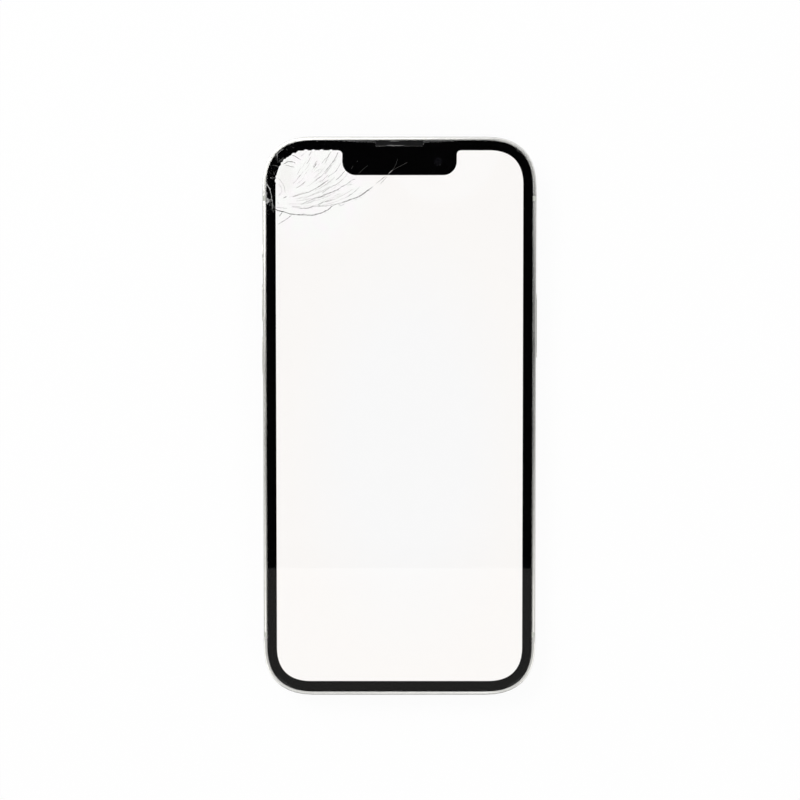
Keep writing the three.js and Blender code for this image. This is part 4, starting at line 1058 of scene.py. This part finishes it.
def buildRearGlass():
    bm = bmesh.new()
    face, seat, seatEdge = rear["face"], rear["seat"], rear["seatEdge"]
    top = face - rear["rise"]
    rim = [(seatEdge, seat), (0.0, seat - seatEdge)] + eased(face, rear["edge"], -1)
    low, high = layered(bm, shrinking(*rear["pane"]), rim)
    foot = eased(face, -rear["foot"], -1)[::-1]
    crown = eased(top, rear["islandEdge"], -1)
    base, plateau = layered(bm, shrinking(*rear["island"]), foot + crown)
    mouths, backs = [], []
    for hole in rearHoles:
        mouth, back = (loopAt(bm, ring(*hole), height) for height in (top, seat))
        bmesh.ops.bridge_loops(bm, edges=mouth + back)
        mouths.append(mouth)
        backs.append(back)
    capped(bm, plateau, *mouths)
    capped(bm, low, *backs)
    capped(bm, high, base)
    outward(bm)
    for f in bm.faces:
        if f.calc_center_median().z < (top + 0.02) * mm:
            f.material_index = 1
    settle(bm, "rear_glass_pane", ["rearGlass", "islandGlass"], ["rear_glass"], angle=30.0)


buildRearGlass()


# Turned pieces, from a profile of [radius, height] in mm. One that starts on the axis is left open there
def turned(profile, x, y, steps=64):
    bm = bmesh.new()
    verts = [bm.verts.new((r * mm, 0, z * mm)) for r, z in profile]
    pairs = list(zip(verts, verts[1:]))
    if profile[0][0] > 0:
        pairs.append((verts[-1], verts[0]))
    edges = [bm.edges.new(pair) for pair in pairs]
    bmesh.ops.spin(
        bm, geom=verts + edges, cent=(0, 0, 0), axis=(0, 0, 1), angle=2 * math.pi, steps=steps,
        use_merge=True)
    bmesh.ops.remove_doubles(bm, verts=bm.verts, dist=0.0005 * mm)
    shift(bm, bm.verts, x, y, 0)
    outward(bm)
    return bm


lensParts = {
    "ring": ("polishedMetal", "pale_metal", [
        [4.25, 0.72], [4.8, 0.72], [4.8, 0.06], [4.86, 0.0], [5.86, 0.0], [5.98, 0.03], [6.07, 0.10],
        [6.1, 0.22], [6.1, 0.88], [6.06, 0.9], [5.2, 0.9], [5.2, 2.4], [4.25, 2.4]]),
    "window": ("windowGlass", "window_glass", [
        [0, 0.2], [4.66, 0.2], [4.7, 0.24], [4.7, 0.66], [4.66, 0.7], [0, 0.7]]),
    "hood": ("darkPlastic", "lens", [
        [4.2, 0.95], [4.2, 0.78], [3.5, 0.78], [3.3, 1.0], [3.15, 1.0], [2.95, 1.2], [2.8, 1.2],
        [2.6, 1.4], [2.45, 1.4], [2.25, 1.6], [2.0, 1.6], [2.0, 2.5], [4.2, 2.5]]),
    "iris": ("darkPlastic", "lens", [[1.95, 1.48], [1.15, 1.62], [1.15, 1.66], [1.95, 1.66]]),
    "element": ("lensBlack", "lens", [
        [0, 1.70], [0.5, 1.72], [1.0, 1.79], [1.4, 1.90], [1.9, 2.10], [1.9, 2.3], [0, 2.3]]),
}

for end, at in zip(("upper", "lower"), rear["lenses"]):
    for part, (look, slot, profile) in lensParts.items():
        name = f"lens_{part}_{end}"
        if name in nodes:
            piece = settle(turned(profile, *at), name + "_finished", look, [name])
        else:
            piece = settle(turned(profile, *at), name, look)
        piece.visible_shadow = part != "window"

flashProfile = [
    [0, 0.95], [1.9, 0.95], [2.3, 0.93], [2.45, 0.87], [2.66, 0.87], [2.7, 0.9], [2.7, 2.4], [0, 2.4]]
settle(turned(flashProfile, *flashAt), "flash_lens_finished", "flashDiffuser", ["flash_lens"])
print("rear glass and cameras made")


# Earpiece mesh: a strip of woven wire in the slot at the top of the glass
earpiece = {
    "length": 10.8, "depth": 1.1, "middle": 64.2, "high": 9.0, "columns": 72, "rows": 8,
    "wire": 0.035, "sunk": 0.08, "thick": 0.5,
}


def buildEarpieceMesh():
    bm = bmesh.new()
    made = bmesh.ops.create_grid(
        bm, x_segments=earpiece["columns"], y_segments=earpiece["rows"], size=0.5)["verts"]
    bmesh.ops.scale(bm, verts=made, vec=(earpiece["length"] * mm, earpiece["depth"] * mm, 1))
    wires = bmesh.ops.inset_individual(bm, faces=bm.faces[:], thickness=earpiece["wire"] * mm, depth=0.0)
    centres = [f for f in bm.faces if f not in set(wires["faces"])]
    shift(bm, list({v for f in centres for v in f.verts}), 0, 0, -earpiece["sunk"])
    shift(bm, bm.verts, 0, earpiece["middle"], earpiece["high"])
    wall = bmesh.ops.extrude_edge_only(bm, edges=[e for e in bm.edges if e.is_boundary])["geom"]
    shift(bm, vertsIn(wall), 0, 0, -earpiece["thick"])
    capped(bm, [e for e in bm.edges if e.is_boundary])
    outward(bm)
    settle(
        bm, "earpiece_mesh_finished", "speakerMesh", ["earpiece_mesh"], angle=30.0, weighted=False)


buildEarpieceMesh()


# The pieces that keep their CAD mesh
keptLooks = {
    "litPanel": ["display_panel"],
    "foam": ["display_gasket"],
    "darkPlastic": [
        "display_bezel", "loudspeaker", "earpiece_speaker", "power_switch_strip", "volume_switch_strip"],
    "steel": [
        "camera_bracket", "card_reader", "board_shield_upper", "board_shield_lower",
        "bottom_microphone", "haptic_motor", "nose_bracket"],
    "amberRibbon": ["flash_board", "battery_tab", "port_flex", "display_flex"],
    "card": ["data_card"],
    "batteryWrap": ["battery"],
    "circuitBoard": ["logic_board"],
    "woundCopper": ["charging_coil"],
    "ferrite": ["coil_ferrite"],
    "contactMoulding": ["port_contacts"],
    "lensBlack": ["rear_camera_upper", "rear_camera_lower"],
    "sensorGlass": ["sensor_module", "front_camera"],
}

for look, names in keptLooks.items():
    for name in names:
        nodes[name].material_slots[0].material = materials[look]


# The phone is tipped a little by its camera bump, so the floor under it leans by the same slope
floorRest = {"y": -64.6, "z": 1.6, "ringY": 36.4, "half": 6.0}  # mm, and metres for its half width

# How much of the floor is plain white: what the metal mirrors keeps more of the phone's shadow
floorGlow = {"seen": 0.92, "mirrored": 0.35}


def addFloor():
    slope = floorRest["z"] / (floorRest["ringY"] - floorRest["y"])
    bm = bmesh.new()
    bmesh.ops.create_grid(bm, x_segments=1, y_segments=1, size=floorRest["half"])
    floor = linked("floor", meshOf(bm, "floor"))
    floor.rotation_euler = (-math.atan(slope), 0, 0)
    floor.location = (0, floorRest["ringY"] * mm, 0)
    shader = newShader("floor")
    faint = noise(position(shader), 60.0, 2.0)
    wire(shader, {
        "Base Color": tones(faint, (250, 250, 250), (253, 253, 253)), "Roughness": 0.9,
        "Specular IOR Level": 0.0})
    path = add(shader, "LightPath").outputs
    seen = math2("MAXIMUM", path["Is Camera Ray"], path["Is Transmission Ray"])
    seen = math2("MULTIPLY", seen, floorGlow["seen"])
    mirrored = math2("MULTIPLY", path["Is Glossy Ray"], floorGlow["mirrored"])
    glow = add(shader, "Emission", {"Color": (1, 1, 1, 1), "Strength": 1.0})
    share = math2("MAXIMUM", seen, mirrored)
    show(add(shader, "MixShader", {0: share, 1: shader.outputs[0], 2: glow.outputs[0]}).outputs[0])
    floor.data.materials.append(materials["floor"])


worldLight = 0.60  # on the object, under a room that looks plain white


def addWorld():
    world = bpy.data.worlds.new("white room")
    scene.world = world
    world.use_nodes = True
    background = world.node_tree.nodes["Background"]
    path = add(background, "LightPath").outputs
    seen = math2("MAXIMUM", path["Is Camera Ray"], path["Is Glossy Ray"])
    seen = math2("MAXIMUM", seen, path["Is Transmission Ray"])
    wire(background, {"Color": (1, 1, 1, 1), "Strength": ramp(seen, 0.0, 1.0, worldLight, 1.0)})


lamps = {
    # the key and the fill aren't mirrored, so that their outlines don't show in the glass
    "key": {"at": (-520, 600, 980), "size": 0.50, "watts": 4.8, "mirrored": False},
    "rim": {"at": (-110, 350, 1190), "size": 0.26, "watts": 0.44, "mirrored": True},
    "foot": {"at": (0, -430, 1190), "size": 0.22, "watts": 0.10, "mirrored": True},
    "fill": {"at": (560, -560, 900), "size": 0.60, "watts": 2.2, "mirrored": False},
}


def addLamp(name, lamp):
    data = bpy.data.lights.new(name, "AREA")
    data.size = lamp["size"]
    data.energy = lamp["watts"]
    made = linked(name, data)
    made.location = Vector(lamp["at"]) * mm
    made.rotation_euler = made.location.to_track_quat("Z", "Y").to_euler()
    made.visible_glossy = lamp["mirrored"]


# Cards over the phone that its glass and metal mirror: a dark one round the camera, a grey one beyond it
cards = {
    "dark": {"x": (-280, 280), "y": (-192, 200), "z": 1209, "light": 0.004},
    "grey": {"x": (-280, 280), "y": (-308, -192), "z": 1209, "light": 0.38},
    "left": {"x": (-1200, -150), "y": (-90, 45), "z": 700, "light": 0.02},
    "right": {"x": (150, 1100), "y": (-90, 78), "z": 700, "light": 0.02},
    "end": {"x": (-300, 300), "y": (-900, -260), "z": 300, "light": 0.20},
    "upper left": {"x": (-660, -150), "y": (68, 620), "z": 700, "light": 3.2},
    "lower left": {"x": (-800, -210), "y": (-700, -120), "z": 700, "light": 1.8},
    "lower right": {"x": (190, 800), "y": (-700, -155), "z": 700, "light": 1.6},
}


def hung(bm, name, light):
    # a card that only mirrors see
    piece = linked(name, meshOf(bm, name))
    shader = newShader(name)
    show(add(shader, "Emission", {"Color": (1, 0.985, 0.96, 1), "Strength": light}).outputs[0])
    piece.data.materials.append(materials[name])
    piece.visible_camera = False
    piece.visible_diffuse = False
    piece.visible_shadow = False


def addCard(name, card):
    bm = bmesh.new()
    made = bmesh.ops.create_grid(bm, x_segments=1, y_segments=1, size=0.5)["verts"]
    (x0, x1), (y0, y1) = card["x"], card["y"]
    bmesh.ops.scale(bm, verts=made, vec=((x1 - x0) * mm, (y1 - y0) * mm, 1))
    shift(bm, made, (x0 + x1) / 2, (y0 + y1) / 2, card["z"])
    hung(bm, name, card["light"])


# A grey wall round the table keeps the border dark and the metal modelled when they are seen from low down
wall = {"radius": 1500, "low": -30, "high": 880, "light": 0.5}


def addWall():
    bm = bmesh.new()
    bmesh.ops.create_circle(bm, segments=96, radius=wall["radius"] * mm)
    shift(bm, bm.verts, 0, 0, wall["low"])
    top = bmesh.ops.extrude_edge_only(bm, edges=bm.edges[:])["geom"]
    shift(bm, vertsIn(top), 0, 0, wall["high"] - wall["low"])
    hung(bm, "wall card", wall["light"])


addFloor()
addWorld()
for name, lamp in lamps.items():
    addLamp(name, lamp)
for name, card in cards.items():
    addCard(name + " card", card)
addWall()

scene.view_settings.view_transform = "Standard"
print("room made")
